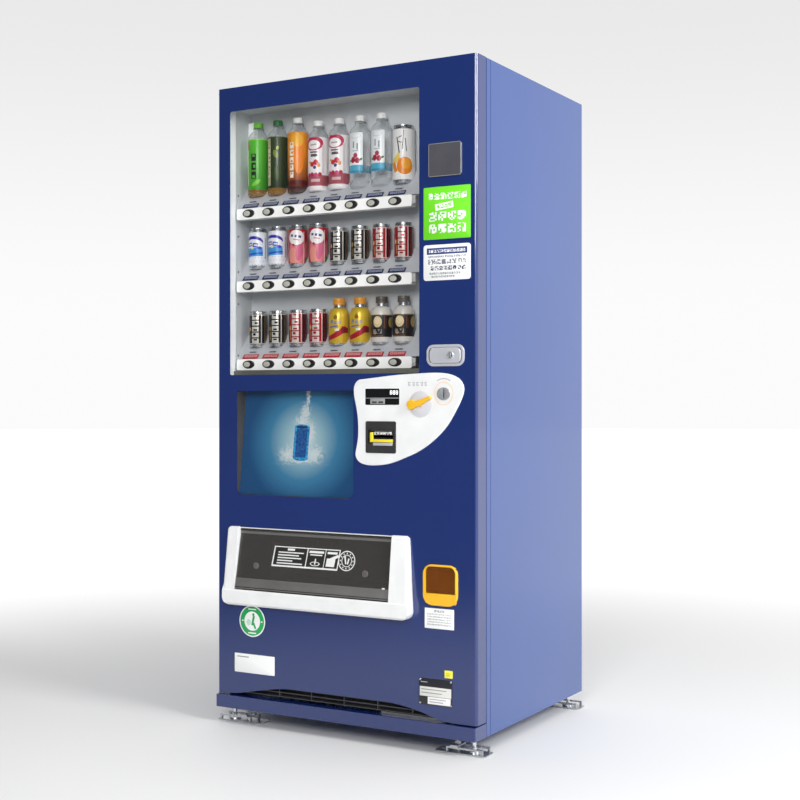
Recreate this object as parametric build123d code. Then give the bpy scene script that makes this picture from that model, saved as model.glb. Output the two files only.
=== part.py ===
from build123d import *
import math
import os

# Drink vending machine.  Millimetres; X across to the buyer's right, Y into the machine, Z up.
# Pieces are drawn with y = 0 on the door's front face and z = 0 on the floor.
# save() shifts them along Y, so that the finished machine's box is centred over its origin.

# ---- Overall sizes ----
cabinet_width = 840.0
overall_height = 1830.0
cabinet_depth = 708.0        # door face to back panel
floor_gap = 45.0             # floor to the underside of the base
sheet = 2.0                  # folded steel of the cabinet and the door
left = -cabinet_width / 2
right = cabinet_width / 2

# ---- Clearances ----
running_gap = 0.05           # radial, pin or shaft in its hole
moving_gap = 0.4             # between faces that slide past each other
panel_gap = 3.0              # between the closed door and the cabinet

# ---- Door ----
door_depth = 53.0
door_bottom = 84.6
door_edge_radius = 8.0
door_return = 12.0           # width of the flange folded in around the door's rear edge
hinge_inset = 10.0           # hinge line to the door's left face
hinge_depth = 28.0
hinge_pin_radius = 5.0
hinge_plate = 3.0
upper_hinge_drop = 20.0      # door top to the upper hinge plate
hinge_x = left + hinge_inset
door_top = overall_height

# ---- Cabinet ----
shell_front = door_depth + panel_gap
shell_top = overall_height - 1.0
front_flange = 20.0
fold_groove_y = 79.0
fold_groove = 1.0
deck_z = 330.0               # floor between the machine bay and the cold chamber
bay_bottom = door_bottom + 1.0
inlet_x = (right - 90.0, right - 40.0)     # recessed power inlet in the back
inlet_z = (100.0, 128.0)
inlet_depth = 20.0
skirt_front = -9.4
skirt_top = 81.2
foam = 50.0
liner_front = 226.0
liner_sill = 600.0           # the fixed lower part of the liner's front
chamber_back = cabinet_depth - sheet - foam
chamber_half = right - sheet - foam
chamber_floor = deck_z + sheet + foam
chamber_top = shell_top - sheet - foam

# ---- Inner door ----
inner_thickness = 38.0
inner_seal_gap = 2.0
inner_lap = 17.0             # lap of the inner door over the chamber's edges
inner_pivot_inset = 8.0
inner_back = liner_front - inner_seal_gap
inner_front = inner_back - inner_thickness
inner_half = chamber_half + inner_lap
inner_bottom = liner_sill - 15.0
inner_top = chamber_top + inner_lap
inner_pin_radius = 3.0
inner_pin_length = 20.0

# ---- Display window and its rows ----
window_left = left + 43.5
window_right = right - 171.3
window_bottom = 1002.0
window_top = overall_height - 69.0
window_radius = 6.0
display_left = window_left - 9.5
display_right = window_right + 9.3
display_floor = window_bottom - 12.0
display_ceiling = window_top + 12.0
display_back = 118.0
pane_front = 40.0
pane_thickness = 3.0
strip_height = 32.0
strip_front = 37.0
strip_depth = 25.0
strip_radius = 5.0
strip_left = window_left - 4.5
strip_right = window_right - 44.2
strip_tops = [window_bottom + 483.0, window_bottom + 273.0, window_bottom + 46.0]
shelf_rise = 72.0
shelf_top_y = 104.0
shelf_sheet = 1.5
columns = 8
first_button = 43.7
last_button = 51.8
column_pitch = (strip_right - strip_left - first_button - last_button) / (columns - 1)

# ---- Selection buttons ----
button_width = 37.0
button_height = 19.0
button_proud = 2.5
button_length = 14.0
button_travel = 3.0

# ---- Sample drinks: (diameter, height) ----
bottle = (61.0, 218.0)
short_bottle = (61.0, 202.0)
tall_can = (62.0, 160.0)
can = (56.0, 119.0)
coffee_can = (52.0, 104.5)
bottle_can = (60.0, 132.0)
sample_rows = [
    [bottle, bottle, bottle, short_bottle, short_bottle, short_bottle, short_bottle, tall_can],
    [can, can, can, can, coffee_can, coffee_can, coffee_can, coffee_can],
    [coffee_can, coffee_can, coffee_can, coffee_can, bottle_can, bottle_can, bottle_can, bottle_can],
]
sample_lift = 36.0
sample_y = 85.0

# ---- Coin panel and what it carries (x measured from the door's right side) ----
panel_proud = 4.0
panel_outline = [(353, 986), (295, 992), (228, 998), (167, 1001), (112, 1002), (72, 996), (47, 982),
                 (37, 961), (42, 937), (58, 906), (79, 872), (106, 841), (139, 814), (177, 791),
                 (218, 774), (259, 760), (300, 754), (337, 755), (359, 764), (368, 778), (366, 799),
                 (361, 826), (360, 858), (363, 894), (370, 928), (374, 958), (368, 977)]
display_x = (right - 337.0, right - 230.0)
display_z = (917.0, 961.0)
bill_x = (right - 335.0, right - 240.0)
bill_z = (787.0, 873.0)
bill_slot_width = 80.0
bill_slot_height = 6.0
bill_slot_z = 829.0
lever_x = right - 165.0
lever_z = 919.0
lever_shaft_radius = 6.0
coin_slot_x = right - 95.5
coin_slot_z = 947.5
coin_slot_width = 5.0
coin_slot_height = 30.0
mechanism_back = 150.0

# ---- Right-hand fittings ----
reader_x = (right - 142.0, right - 44.0)
reader_z = (1517.0, 1606.0)
lock_x = (right - 148.0, right - 36.0)
lock_z = (1019.0, 1076.0)
lock_rim = 7.0
lock_corner = 20.0           # corner radius of the plate
lock_depth = 16.0
handle_gap = 3.0
handle_thickness = 8.0
handle_front = -5.0
key_x = right - 76.0
key_radius = 10.0
key_boss_radius = 14.0
key_back = 12.0
handle_pin_radius = 2.5
return_x = (right - 158.0, right - 55.0)
return_z = (389.0, 497.0)
return_opening_z = (421.0, 492.0)
return_rims = (8.0, 6.0)     # width of the frame left and right of the opening
return_corners = (26.0, 28.0)    # outer corner radii, top and bottom
return_arch = 16.0           # corner radius at the top of the opening
return_depth = 68.0
return_flap_thickness = 3.0
return_flap_y = -2.0         # its hinge line

# ---- Poster recess (x measured from the door's left side) ----
poster_x = (left + 68.0, left + 463.0)
poster_z = (659.0, 956.0)
poster_radius = 20.0
poster_low_y = 14.0
poster_high_y = 46.0

# ---- Delivery port (x measured from the door's left side) ----
port_x = (left + 80.0, left + 590.0)
port_caps = (38.0, 51.0)     # width of the left and right caps at the top
port_flares = (3.0, 11.0)    # how much wider each is at the bottom
port_corners = (12.0, 22.0)  # outer corner radii, top and bottom
port_z = (346.0, 568.0)
port_opening_z = (391.0, 563.5)
tray_projection = 32.0
port_top_projection = 10.0
bin_back = 150.0
bin_wall = 3.0
flap_thickness = 4.0
flap_pin_radius = 3.0
flap_pivot_y = 6.0
outlet_half = 175.0
outlet_z = (400.0, 545.0)
chute_slope = 16.0
chute_lip_y = 158.0
chute_sheet = 3.0

# ---- Air intake arch: (x from the door's centre, z) ----
arch_points = [(-384, 85.5), (-344, 88.9), (-281, 101.5), (-218, 113.3), (-171, 118.5), (160, 118.3),
               (201, 113.5), (241, 107.4), (310, 87.5), (366, 83.3)]
grille_y = 14.0
grille_depth = 14.0

# ---- Feet ----
foot_inset = 30.0
foot_front_y = 44.0
foot_rear_y = 672.0
post_radius = 6.0
plate_length = 150.0
plate_width = 54.0
plate_thickness = 4.0
plate_overhang = 14.0        # past the cabinet's side
anchor_radius = 6.5
anchor_inset = 16.0

# ---- Machine bay and cold circuit ----
fan_radius = 100.0
fan_x = left + 280.0
fan_z = 185.0
fan_y = 175.0
cold_fan_radius = 48.0
cold_fan_x = left + 335.0
cold_fan_y = 440.0
fan_shaft_radius = 4.0
compressor_radius = 85.0
compressor_height = 190.0

depth_shift = -(cabinet_depth - tray_projection) / 2


def block(x0, x1, y0, y1, z0, z1):
    """A box between two opposite corners."""
    return Pos((x0 + x1) / 2, (y0 + y1) / 2, (z0 + z1) / 2) * Box(x1 - x0, y1 - y0, z1 - z0)


def rod_x(y, z, radius, x0, x1):
    """A cylinder along X."""
    return Pos((x0 + x1) / 2, y, z) * Rot(0, 90, 0) * Cylinder(radius, x1 - x0)


def rod_y(x, z, radius, y0, y1):
    """A cylinder along Y."""
    return Pos(x, (y0 + y1) / 2, z) * Rot(90, 0, 0) * Cylinder(radius, y1 - y0)


def rod_z(x, y, radius, z0, z1):
    """A cylinder along Z."""
    return Pos(x, y, (z0 + z1) / 2) * Cylinder(radius, z1 - z0)


def front_prism(sketch, y0, y1):
    """A sketch drawn in X and Z, extruded from depth y0 back to depth y1."""
    rear = Plane(origin=(0, y1, 0), x_dir=(1, 0, 0), z_dir=(0, -1, 0))
    return extrude(rear * sketch, amount=y1 - y0, dir=(0, -1, 0))


def side_prism(points, x0, x1):
    """An outline of (y, z) points, extruded across from x0 to x1."""
    side = Plane(origin=(x0, 0, 0), x_dir=(0, 1, 0), z_dir=(1, 0, 0))
    return extrude(side * Polygon(*points, align=None), amount=x1 - x0, dir=(1, 0, 0))


def rounded(x0, x1, z0, z1, radius):
    """A rectangle with round corners, drawn in X and Z."""
    return Pos((x0 + x1) / 2, (z0 + z1) / 2) * RectangleRounded(x1 - x0, z1 - z0, radius)


def oval(x, z, width, height):
    """An ellipse drawn in X and Z."""
    return Pos(x, z) * Ellipse(width / 2, height / 2)


def button_x(column):
    """Centre of a column of buttons, counted from 0 at the left."""
    return strip_left + first_button + column * column_pitch


def save(node, *pieces):
    """Write one node's solids, in the frame of the finished machine."""
    solids = [solid for piece in pieces for solid in piece.solids()]
    export_step(Pos(0, depth_shift, 0) * Compound(solids), f"parts/{node}.step")


# ---- Cabinet, base and feet ----

def foot_places():
    """The four levelling posts, as (side, x, y)."""
    return [(side, side * (right - foot_inset), y) for side in (-1, 1) for y in (foot_front_y, foot_rear_y)]


def make_cabinet_shell():
    outer = block(left, right, shell_front, cabinet_depth, floor_gap, shell_top)
    back_inside = cabinet_depth - sheet
    hollow = block(left + sheet, right - sheet, shell_front + sheet, back_inside,
                   floor_gap + sheet, shell_top - sheet)
    mouth = block(left + front_flange, right - front_flange, shell_front - 1, shell_front + sheet + 1,
                  bay_bottom, shell_top - front_flange)
    shell = outer - hollow - mouth
    shell += block(left + sheet, right - sheet, shell_front + sheet, back_inside, deck_z, deck_z + sheet)
    core = block(left + fold_groove, right - fold_groove, 0, cabinet_depth, 0, shell_top - fold_groove)
    band = block(left - 1, right + 1, fold_groove_y, fold_groove_y + sheet, floor_gap, shell_top + 1)
    shell -= band - core
    for row in range(9):
        slot_z = 100 + 22 * row
        for side in (-1, 1):
            slot_x = side * 160
            shell -= block(slot_x - 130, slot_x + 130, back_inside - 1, cabinet_depth + 1, slot_z, slot_z + 8)
    for side, x, y in foot_places():
        if y > shell_front:
            shell -= rod_z(x, y, post_radius + moving_gap, floor_gap - 1, floor_gap + sheet + 1)
    shell += block(inlet_x[0] - sheet, inlet_x[1] + sheet, cabinet_depth - inlet_depth - sheet, cabinet_depth,
                   inlet_z[0] - sheet, inlet_z[1] + sheet)
    return shell - block(inlet_x[0], inlet_x[1], cabinet_depth - inlet_depth, cabinet_depth + 1,
                         inlet_z[0], inlet_z[1])


def make_base_skirt():
    """The plinth under the door, open at its rear."""
    half = right - 0.5
    skirt = block(-half, half, skirt_front, shell_front, floor_gap, skirt_top)
    upright = skirt.edges().filter_by(Axis.Z).group_by(Axis.Y)[0]
    skirt = fillet(upright, 3)
    skirt -= block(-half + 3, half - 3, skirt_front + 3, shell_front + 1, floor_gap + 4, skirt_top - 3)
    for side, x, y in foot_places():
        if y < shell_front:
            skirt -= rod_z(x, y, post_radius + moving_gap, floor_gap - 1, floor_gap + 5)
    return skirt


def make_insulated_liner():
    """Foam box of the cold chamber, with the outlet through its fixed lower front."""
    half = right - sheet
    liner = block(-half, half, liner_front, cabinet_depth - sheet, deck_z + sheet, shell_top - sheet)
    liner -= block(-chamber_half, chamber_half, liner_front + foam, chamber_back, chamber_floor, chamber_top)
    liner -= block(-chamber_half, chamber_half, liner_front - 1, liner_front + foam + 1,
                   liner_sill, chamber_top)
    middle = (port_x[0] + port_x[1]) / 2
    liner -= block(middle - outlet_half, middle + outlet_half, liner_front - 1, liner_front + foam + 1,
                   outlet_z[0], outlet_z[1])
    return liner


def make_leveling_feet():
    """Threaded posts with a lock nut above and below the base."""
    posts = []
    for side, x, y in foot_places():
        post = rod_z(x, y, post_radius, plate_thickness, floor_gap + 24)
        post += rod_z(x, y, 17, plate_thickness, plate_thickness + 5)
        inside = floor_gap + (sheet if y > shell_front else 4)
        for nut_z in (floor_gap - 8, inside):
            nut = Pos(x, y, nut_z) * extrude(RegularPolygon(11, 6), amount=8)
            post += nut
        posts.append(post)
    return posts


def make_foot_plates():
    """Anchor plates under the posts, each with a raised strap, a clamp bolt and a free anchor hole."""
    plates = []
    for side, x, y in foot_places():
        outer = side * (right + plate_overhang)
        inner = outer - side * plate_length
        low, high = min(outer, inner), max(outer, inner)
        plate = block(low, high, y - plate_width / 2, y + plate_width / 2, 0, plate_thickness)
        plate = fillet(plate.edges().filter_by(Axis.Z), 6)
        anchor_x = inner + side * anchor_inset
        plate -= rod_z(anchor_x, y, anchor_radius, -1, plate_thickness + 1)
        for offset in (-1, 1):
            bar_y = y + offset * (plate_width / 2 - 6)
            start = inner + side * 34
            finish = outer - side * 8
            run = sorted((start, finish))
            plate += block(run[0], run[1], bar_y - 3, bar_y + 3, plate_thickness + 9, plate_thickness + 14)
            for leg in (start + side * 3, finish - side * 3):
                plate += block(leg - 3, leg + 3, bar_y - 3, bar_y + 3, plate_thickness, plate_thickness + 14)
        bridge_x = inner + side * 58
        bridge_half = plate_width / 2 - 3
        plate += block(bridge_x - 11, bridge_x + 11, y - bridge_half, y + bridge_half,
                       plate_thickness + 14, plate_thickness + 18)
        bolt = rod_z(bridge_x, y, 5, plate_thickness, plate_thickness + 30)
        bolt += Pos(bridge_x, y, plate_thickness + 18) * extrude(RegularPolygon(9, 6), amount=7)
        plates.append(plate + bolt)
    return plates


def make_door_hinges():
    """Fixed hinge plates and pins of the outer door, then of the inner door."""
    lower = block(left + 1, hinge_x + 32, 2, shell_front, skirt_top, skirt_top + hinge_plate)
    lower += rod_z(hinge_x, hinge_depth, hinge_pin_radius, skirt_top, door_bottom + 16)
    plate_z = door_top - upper_hinge_drop
    upper = block(left + 3, hinge_x + 26, hinge_depth - 10, shell_front, plate_z, plate_z + hinge_plate)
    upper += rod_z(hinge_x, hinge_depth, hinge_pin_radius, plate_z, plate_z + 14)
    pivot_x, pivot_y = inner_pivot()
    brackets = [lower, upper]
    for base_z, tip_z in ((inner_bottom - 5, inner_bottom + inner_pin_length),
                          (inner_top + 5, inner_top - inner_pin_length)):
        low, high = min(base_z, tip_z), max(base_z, tip_z)
        plate_low = min(base_z, base_z + math.copysign(hinge_plate, tip_z - base_z))
        bracket = block(pivot_x - 10, pivot_x + 10, pivot_y - 10, liner_front,
                        plate_low, plate_low + hinge_plate)
        bracket += rod_z(pivot_x, pivot_y, inner_pin_radius, low, high)
        brackets.append(bracket)
    return brackets


# ---- Cold chamber ----

def inner_pivot():
    """Hinge line of the inner door, as (x, y)."""
    return -inner_half + inner_pivot_inset, inner_front + inner_pivot_inset


def make_inner_door():
    """Foam door with a raised centre panel and a pull handle."""
    panel = block(-inner_half, inner_half, inner_front, inner_back, inner_bottom, inner_top)
    recess = block(-inner_half + 40, inner_half - 40, inner_front - 1, inner_front + 4,
                   inner_bottom + 40, inner_top - 40)
    panel -= recess
    pivot_x, pivot_y = inner_pivot()
    hole = inner_pin_radius + running_gap
    for z0, z1 in ((inner_bottom - 1, inner_bottom + inner_pin_length + 1),
                   (inner_top - inner_pin_length - 1, inner_top + 1)):
        panel -= rod_z(pivot_x, pivot_y, hole, z0, z1)
    grip_x = inner_half - 60
    middle = (inner_bottom + inner_top) / 2
    grip = block(grip_x - 8, grip_x + 8, inner_front + 1, inner_front + 4, middle - 60, middle + 60)
    return panel + grip


def make_product_racks():
    """Can and bottle shafts: side plates, shaft dividers, and a vend gate under each shaft."""
    bays = 3
    shafts = 4
    low, high = liner_sill + 60, chamber_top - 40
    front_y, back_y = liner_front + 20, chamber_back - 10
    bay = 2 * chamber_half / bays
    shaft = (back_y - front_y) / shafts
    plate = 1.5
    rack = None
    for edge in range(bays + 1):
        x = -chamber_half + edge * bay
        x = min(max(x, -chamber_half + plate / 2), chamber_half - plate / 2)
        side = block(x - plate / 2, x + plate / 2, front_y, back_y, low, high)
        rack = side if rack is None else rack + side
    for wall in range(shafts + 1):
        y = front_y + wall * shaft
        y = min(max(y, front_y + plate / 2), back_y - plate / 2)
        rack += block(-chamber_half, chamber_half, y - plate / 2, y + plate / 2, low + 60, high - 60)
    pieces = [rack]
    for column in range(bays):
        x = -chamber_half + (column + 0.5) * bay
        for row in range(shafts):
            y = front_y + (row + 1) * shaft - plate
            gate = block(x - 45, x + 45, y - 28, y - plate / 2, low + 62, low + 90)
            gate += block(x - 30, x + 30, y - 52, y - 28, low + 62, low + 68)
            pieces.append(gate)
    return pieces


def chute_z(y):
    """Height of the chute's upper face at depth y."""
    return outlet_z[0] + 22 + (y - chute_lip_y) * math.tan(math.radians(chute_slope))


def make_product_chute():
    """Sloping floor that carries a drink from the racks out to the delivery port."""
    middle = (port_x[0] + port_x[1]) / 2
    half = outlet_half - 6
    tail = chamber_back - 30
    face = [(chute_lip_y, chute_z(chute_lip_y)), (tail, chute_z(tail)),
            (tail, chute_z(tail) - chute_sheet), (chute_lip_y, chute_z(chute_lip_y) - chute_sheet)]
    chute = side_prism(face, middle - half, middle + half)
    rail = [(chute_lip_y, chute_z(chute_lip_y)), (tail, chute_z(tail)),
            (tail, chute_z(tail) + 20), (chute_lip_y, chute_z(chute_lip_y) + 20)]
    chute += side_prism(rail, middle - half, middle - half + 2)
    chute += side_prism(rail, middle + half - 2, middle + half)
    wing_y = liner_front + foam + 10
    wing = [(wing_y, chute_z(wing_y)), (tail, chute_z(tail)),
            (tail, chute_z(tail) - chute_sheet), (wing_y, chute_z(wing_y) - chute_sheet)]
    chute += side_prism(wing, -chamber_half, chamber_half)
    return chute


# ---- Cooling circuit ----

def make_coil(x0, x1, y0, y1, z0, z1, rows):
    """A finned coil: end plates, fins and straight tubes joined as one solid."""
    coil = block(x0, x0 + 2, y0, y1, z0, z1) + block(x1 - 2, x1, y0, y1, z0, z1)
    fins = 12
    for fin in range(1, fins):
        x = x0 + (x1 - x0) * fin / fins
        coil += block(x - 0.6, x + 0.6, y0 + 4, y1 - 4, z0 + 6, z1 - 6)
    for row in range(rows):
        z = z0 + (z1 - z0) * (row + 0.5) / rows
        coil += rod_x((y0 + y1) / 2, z, 5, x0 - 6, x1 + 6)
    return coil


def make_fan(x, y, z, radius, hub_radius, blades):
    """An axial fan on a Y axis, its hub bored for the motor's shaft."""
    hub = rod_y(x, z, hub_radius, y - 12, y + 12)
    span = radius - hub_radius + 4
    blade = Pos(hub_radius - 4 + span / 2, 0, 0) * Rot(28, 0, 0) * Box(span, 2, radius * 0.55)
    fan = hub
    for turn in range(blades):
        fan += Pos(x, y, z) * Rot(0, 360 / blades * turn, 0) * blade
    return fan - rod_y(x, z, fan_shaft_radius + running_gap, y - 6, y + 13)


def make_motor(x, y, z, radius, length, floor_z):
    """A fan motor behind its fan, on a pedestal."""
    motor = rod_y(x, z, radius, y, y + length)
    motor += rod_y(x, z, fan_shaft_radius, y - 24, y)
    return motor + block(x - radius * 0.6, x + radius * 0.6, y + 6, y + length - 6, floor_z, z)


def cold_fan_z():
    """The cold fan sits on the chamber floor, under the chute."""
    return chamber_floor + cold_fan_radius + 8


def make_compressor():
    x, y = right - 190, cabinet_depth - 200
    base_z = floor_gap + sheet
    shell = rod_z(x, y, compressor_radius, base_z + 12, base_z + compressor_height)
    shell = fillet(shell.edges().filter_by(GeomType.CIRCLE), 22)
    foot = block(x - 95, x + 95, y - 60, y + 60, base_z + 6, base_z + 14)
    shell += foot
    for side_x in (-80, 80):
        for side_y in (-48, 48):
            shell += rod_z(x + side_x, y + side_y, 9, base_z, base_z + 8)
    shell += rod_z(x - 30, y, 6, base_z + compressor_height - 30, base_z + compressor_height + 40)
    shell += rod_z(x + 35, y, 4, base_z + compressor_height - 30, base_z + compressor_height + 30)
    return shell


# ---- Door ----

def arch_sketch():
    """The air intake cut in the door's lower edge, carried down past the edge."""
    low = door_bottom - 10
    points = [(arch_points[0][0], low)] + arch_points + [(arch_points[-1][0], low)]
    return Polygon(*points, align=None)


def poster_sketch():
    shape = Pos((poster_x[0] + poster_x[1]) / 2, (poster_z[0] + poster_z[1]) / 2) * Rectangle(
        poster_x[1] - poster_x[0], poster_z[1] - poster_z[0])
    return fillet(shape.vertices().group_by(Axis.Y)[0], poster_radius)


def make_door_panel():
    """Folded steel door: front skin, sides and rear flange, with every cut-out."""
    outer = block(left, right, 0, door_depth, door_bottom, door_top)
    outer = fillet(outer.edges().filter_by(Axis.Z).group_by(Axis.Y)[0], door_edge_radius)
    hollow = block(left + sheet, right - sheet, sheet, door_depth - sheet,
                   door_bottom + sheet, door_top - sheet)
    hollow = fillet(hollow.edges().filter_by(Axis.Z).group_by(Axis.Y)[0], door_edge_radius - sheet)
    rear = block(left + door_return, right - door_return, door_depth - sheet - 1, door_depth + 1,
                 door_bottom + door_return, door_top - door_return)
    door = outer - hollow - rear
    plate_z = door_top - upper_hinge_drop
    tab_z = plate_z + hinge_plate + moving_gap + 1
    door += block(left + sheet, hinge_x + 40, sheet, door_depth - sheet, tab_z, tab_z + hinge_plate)
    door -= block(left - 1, left + door_return + 1, hinge_depth - 14, door_depth + 1,
                  plate_z - 3, tab_z)
    pin_hole = hinge_pin_radius + running_gap
    door -= rod_z(hinge_x, hinge_depth, pin_hole, door_bottom - 1, door_bottom + 20)
    door -= rod_z(hinge_x, hinge_depth, pin_hole, tab_z - 1, tab_z + hinge_plate + 1)
    skin = [
        rounded(window_left, window_right, window_bottom, window_top, window_radius),
        poster_sketch(),
        rounded(display_x[0], display_x[1], display_z[0], display_z[1], 3),
        rounded(bill_x[0] + 6, bill_x[1] - 6, bill_z[0] + 6, bill_z[1] - 6, 3),
        Pos(lever_x, lever_z) * Circle(lever_shaft_radius + 2),
        rounded(coin_slot_x - 10, coin_slot_x + 10, coin_slot_z - 18, coin_slot_z + 18, 4),
        rounded(reader_x[0] + 4, reader_x[1] - 4, reader_z[0] + 4, reader_z[1] - 4, 4),
        rounded(lock_x[0] + 4, lock_x[1] - 4, lock_z[0] + 4, lock_z[1] - 4, 8),
        rounded(return_x[0] + 4, return_x[1] - 4, return_z[0] + 4, return_z[1] - 4, 8),
        rounded(port_x[0] - bin_wall - 2, port_x[1] + bin_wall + 2, port_opening_z[0] - 18, port_z[1] - 1, 2),
    ]
    for cut in skin:
        door -= front_prism(cut, -1, sheet + 1)
    return door - front_prism(arch_sketch(), -1, door_depth + 1)


def make_door_grille():
    """Slats and ribs behind the air intake."""
    x0, x1 = arch_points[0][0] - 10, arch_points[-1][0] + 10
    top = max(z for x, z in arch_points) + 2
    grille = block(x0, x1, sheet, grille_y + grille_depth, top, top + 2)
    for slat in range(3):
        z = door_bottom + 5 + 12 * slat
        grille += block(x0, x1, grille_y, grille_y + grille_depth, z, z + 2.5)
    for rib in range(-3, 4):
        x = 4 + 108 * rib
        grille += block(x - 1.2, x + 1.2, grille_y, grille_y + grille_depth, door_bottom + 5, top)
    return grille


def make_display_box():
    """Lit box behind the window: back, sides, top and floor, with a flange on the door skin."""
    box = block(display_left - sheet, display_right + sheet, sheet, display_back + sheet,
                display_floor - sheet, display_ceiling + sheet)
    box += block(display_left - 6, display_right + 12, sheet, 2 * sheet,
                 display_floor - 12, display_ceiling + 12)
    return box - block(display_left, display_right, sheet - 1, display_back,
                       display_floor, display_ceiling)


def strip_outline(top, spare):
    """Front outline of a button strip, grown all round by spare."""
    return rounded(strip_left - spare, strip_right + spare, top - strip_height - spare, top + spare,
                   strip_radius + spare)


def make_display_window():
    """Clear pane, slotted around the button strips."""
    pane = block(display_left, display_right, pane_front, pane_front + pane_thickness,
                 display_floor, display_ceiling)
    for top in strip_tops:
        pane -= front_prism(strip_outline(top, 0.25), pane_front - 1, pane_front + pane_thickness + 1)
    return pane


def shelf_outline(top):
    """Folded shelf behind a strip, as (y, z): a slope that rises to the back."""
    foot_y = pane_front + pane_thickness
    drop = shelf_sheet
    return [(foot_y, top), (shelf_top_y, top + shelf_rise), (display_back, top + shelf_rise),
            (display_back, top + shelf_rise - drop), (shelf_top_y + drop, top + shelf_rise - drop),
            (foot_y + 2 * drop, top)]


def make_display_shelves():
    return [side_prism(shelf_outline(top), display_left, display_right) for top in strip_tops]


def make_button_strips():
    """White bars with an oval well for each button."""
    strips = []
    for top in strip_tops:
        strip = front_prism(strip_outline(top, 0), strip_front, strip_front + strip_depth)
        strip = fillet(strip.faces().sort_by(Axis.Y)[0].edges(), 1.2)
        middle = top - strip_height / 2 + 1
        for column in range(columns):
            well = oval(button_x(column), middle, button_width + 2 * moving_gap, button_height + 2 * moving_gap)
            deep = strip_front - button_proud + button_length + button_travel + 1
            strip -= front_prism(well, strip_front - 1, deep)
        strips.append(strip)
    return strips


def make_button(top, column):
    """An oval push button with a soft front edge."""
    front = strip_front - button_proud
    shape = oval(button_x(column), top - strip_height / 2 + 1, button_width, button_height)
    button = front_prism(shape, front, front + button_length)
    return fillet(button.faces().sort_by(Axis.Y)[0].edges(), 1.0)


def make_sample(size, x, base_z):
    """A sample drink: a turned outline, straight for a can and necked for a bottle."""
    radius, height = size[0] / 2, size[1]
    tall_neck = size in (bottle, short_bottle)
    necked = tall_neck or size == bottle_can
    shoulder = height - (62 if tall_neck else 34) if necked else height - 8
    neck = 14 if tall_neck else 19
    points = [(0, 0), (radius - 4, 0), (radius, 5), (radius, shoulder)]
    if necked:
        points += [(neck, height - 16), (neck, height), (0, height)]
    else:
        points += [(radius - 4, height), (0, height)]
    outline = Plane.XZ * Polygon(*points, align=None)
    return Pos(x, sample_y, base_z) * revolve(outline, Axis.Z)


def make_sample_products():
    """Half-open sample drinks, each trimmed to the shelf that it stands on."""
    samples = []
    for top, row in zip(strip_tops, sample_rows):
        foot_y = pane_front + pane_thickness
        behind = [(foot_y, top), (shelf_top_y, top + shelf_rise), (display_back, top + shelf_rise),
                  (display_back, top + 400), (display_back + 100, top + 400), (display_back + 100, top - 20),
                  (foot_y, top - 20)]
        cutter = side_prism(behind, display_left - 50, display_right + 50)
        for column, size in enumerate(row):
            samples.append(make_sample(size, button_x(column), top + sample_lift) - cutter)
    return samples


def make_coin_panel():
    """Moulded fascia around the payment parts."""
    points = [(right - x, z) for x, z in panel_outline]
    outline = make_face(Spline(*points, periodic=True))
    panel = front_prism(outline, -panel_proud, 0)
    panel = fillet(panel.faces().sort_by(Axis.Y)[0].edges(), 2)
    holes = [
        rounded(display_x[0], display_x[1], display_z[0], display_z[1], 3),
        rounded(bill_x[0], bill_x[1], bill_z[0], bill_z[1], 5),
        Pos(lever_x, lever_z) * Circle(lever_shaft_radius + running_gap),
        rounded(coin_slot_x - coin_slot_width / 2, coin_slot_x + coin_slot_width / 2,
                coin_slot_z - coin_slot_height / 2, coin_slot_z + coin_slot_height / 2, 2),
    ]
    for hole in holes:
        panel -= front_prism(hole, -panel_proud - 1, 1)
    return panel


def make_amount_display():
    face = rounded(display_x[0], display_x[1], display_z[0], display_z[1], 3)
    unit = front_prism(face, 1 - panel_proud, 14)
    return unit


def make_bill_validator():
    """Bezel with the note slot, and the validator's body behind it."""
    bezel = front_prism(rounded(bill_x[0], bill_x[1], bill_z[0], bill_z[1], 5), -panel_proud - 1, 0)
    middle = (bill_x[0] + bill_x[1]) / 2
    throat = rounded(bill_x[0] + 6, bill_x[1] - 6, bill_z[0] + 6, bill_z[1] - 6, 3)
    body = front_prism(throat, 0, 20)
    body += block(bill_x[0] - 4, bill_x[1] + 4, 20, 165, bill_z[0] - 60, bill_z[1] + 10)
    unit = bezel + body
    half = bill_slot_width / 2
    mouth = [(-panel_proud - 2, bill_slot_z + 26), (-panel_proud - 2, bill_slot_z - 18),
             (14, bill_slot_z), (14, bill_slot_z + bill_slot_height)]
    unit -= side_prism(mouth, middle - half, middle + half)
    unit -= block(middle - half, middle + half, 13, 120, bill_slot_z, bill_slot_z + bill_slot_height)
    return unit


def make_coin_mechanism():
    """Coin validator above the change tubes, with a drop pipe to the return cup."""
    x0, x1 = right - 215, right - 48
    upper = block(x0, x1, sheet + 2, mechanism_back, 800, display_floor - 16)
    upper += front_prism(rounded(coin_slot_x - 10, coin_slot_x + 10, coin_slot_z - 18, coin_slot_z + 18, 4),
                         0, sheet + 3)
    slot = rounded(coin_slot_x - coin_slot_width / 2, coin_slot_x + coin_slot_width / 2,
                   coin_slot_z - coin_slot_height / 2, coin_slot_z + coin_slot_height / 2, 2)
    upper -= front_prism(slot, -1, 60)
    upper -= rod_y(lever_x, lever_z, lever_shaft_radius + moving_gap, 0, 34)
    changer = block(x0 + 8, x1 - 8, 20, mechanism_back, 560, 800)
    for tube in range(4):
        tube_x = x0 + 30 + tube * 34
        changer += rod_z(tube_x, mechanism_back - 4, 13.5, 580, 790)
    pipe_x = (return_x[0] + return_x[1]) / 2
    changer += block(pipe_x - 30, pipe_x + 30, 28, 62, return_z[1] + 2, 560)
    changer -= block(pipe_x - 26, pipe_x + 26, 32, 58, return_z[1] + 1, 574)
    return upper + changer


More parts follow.
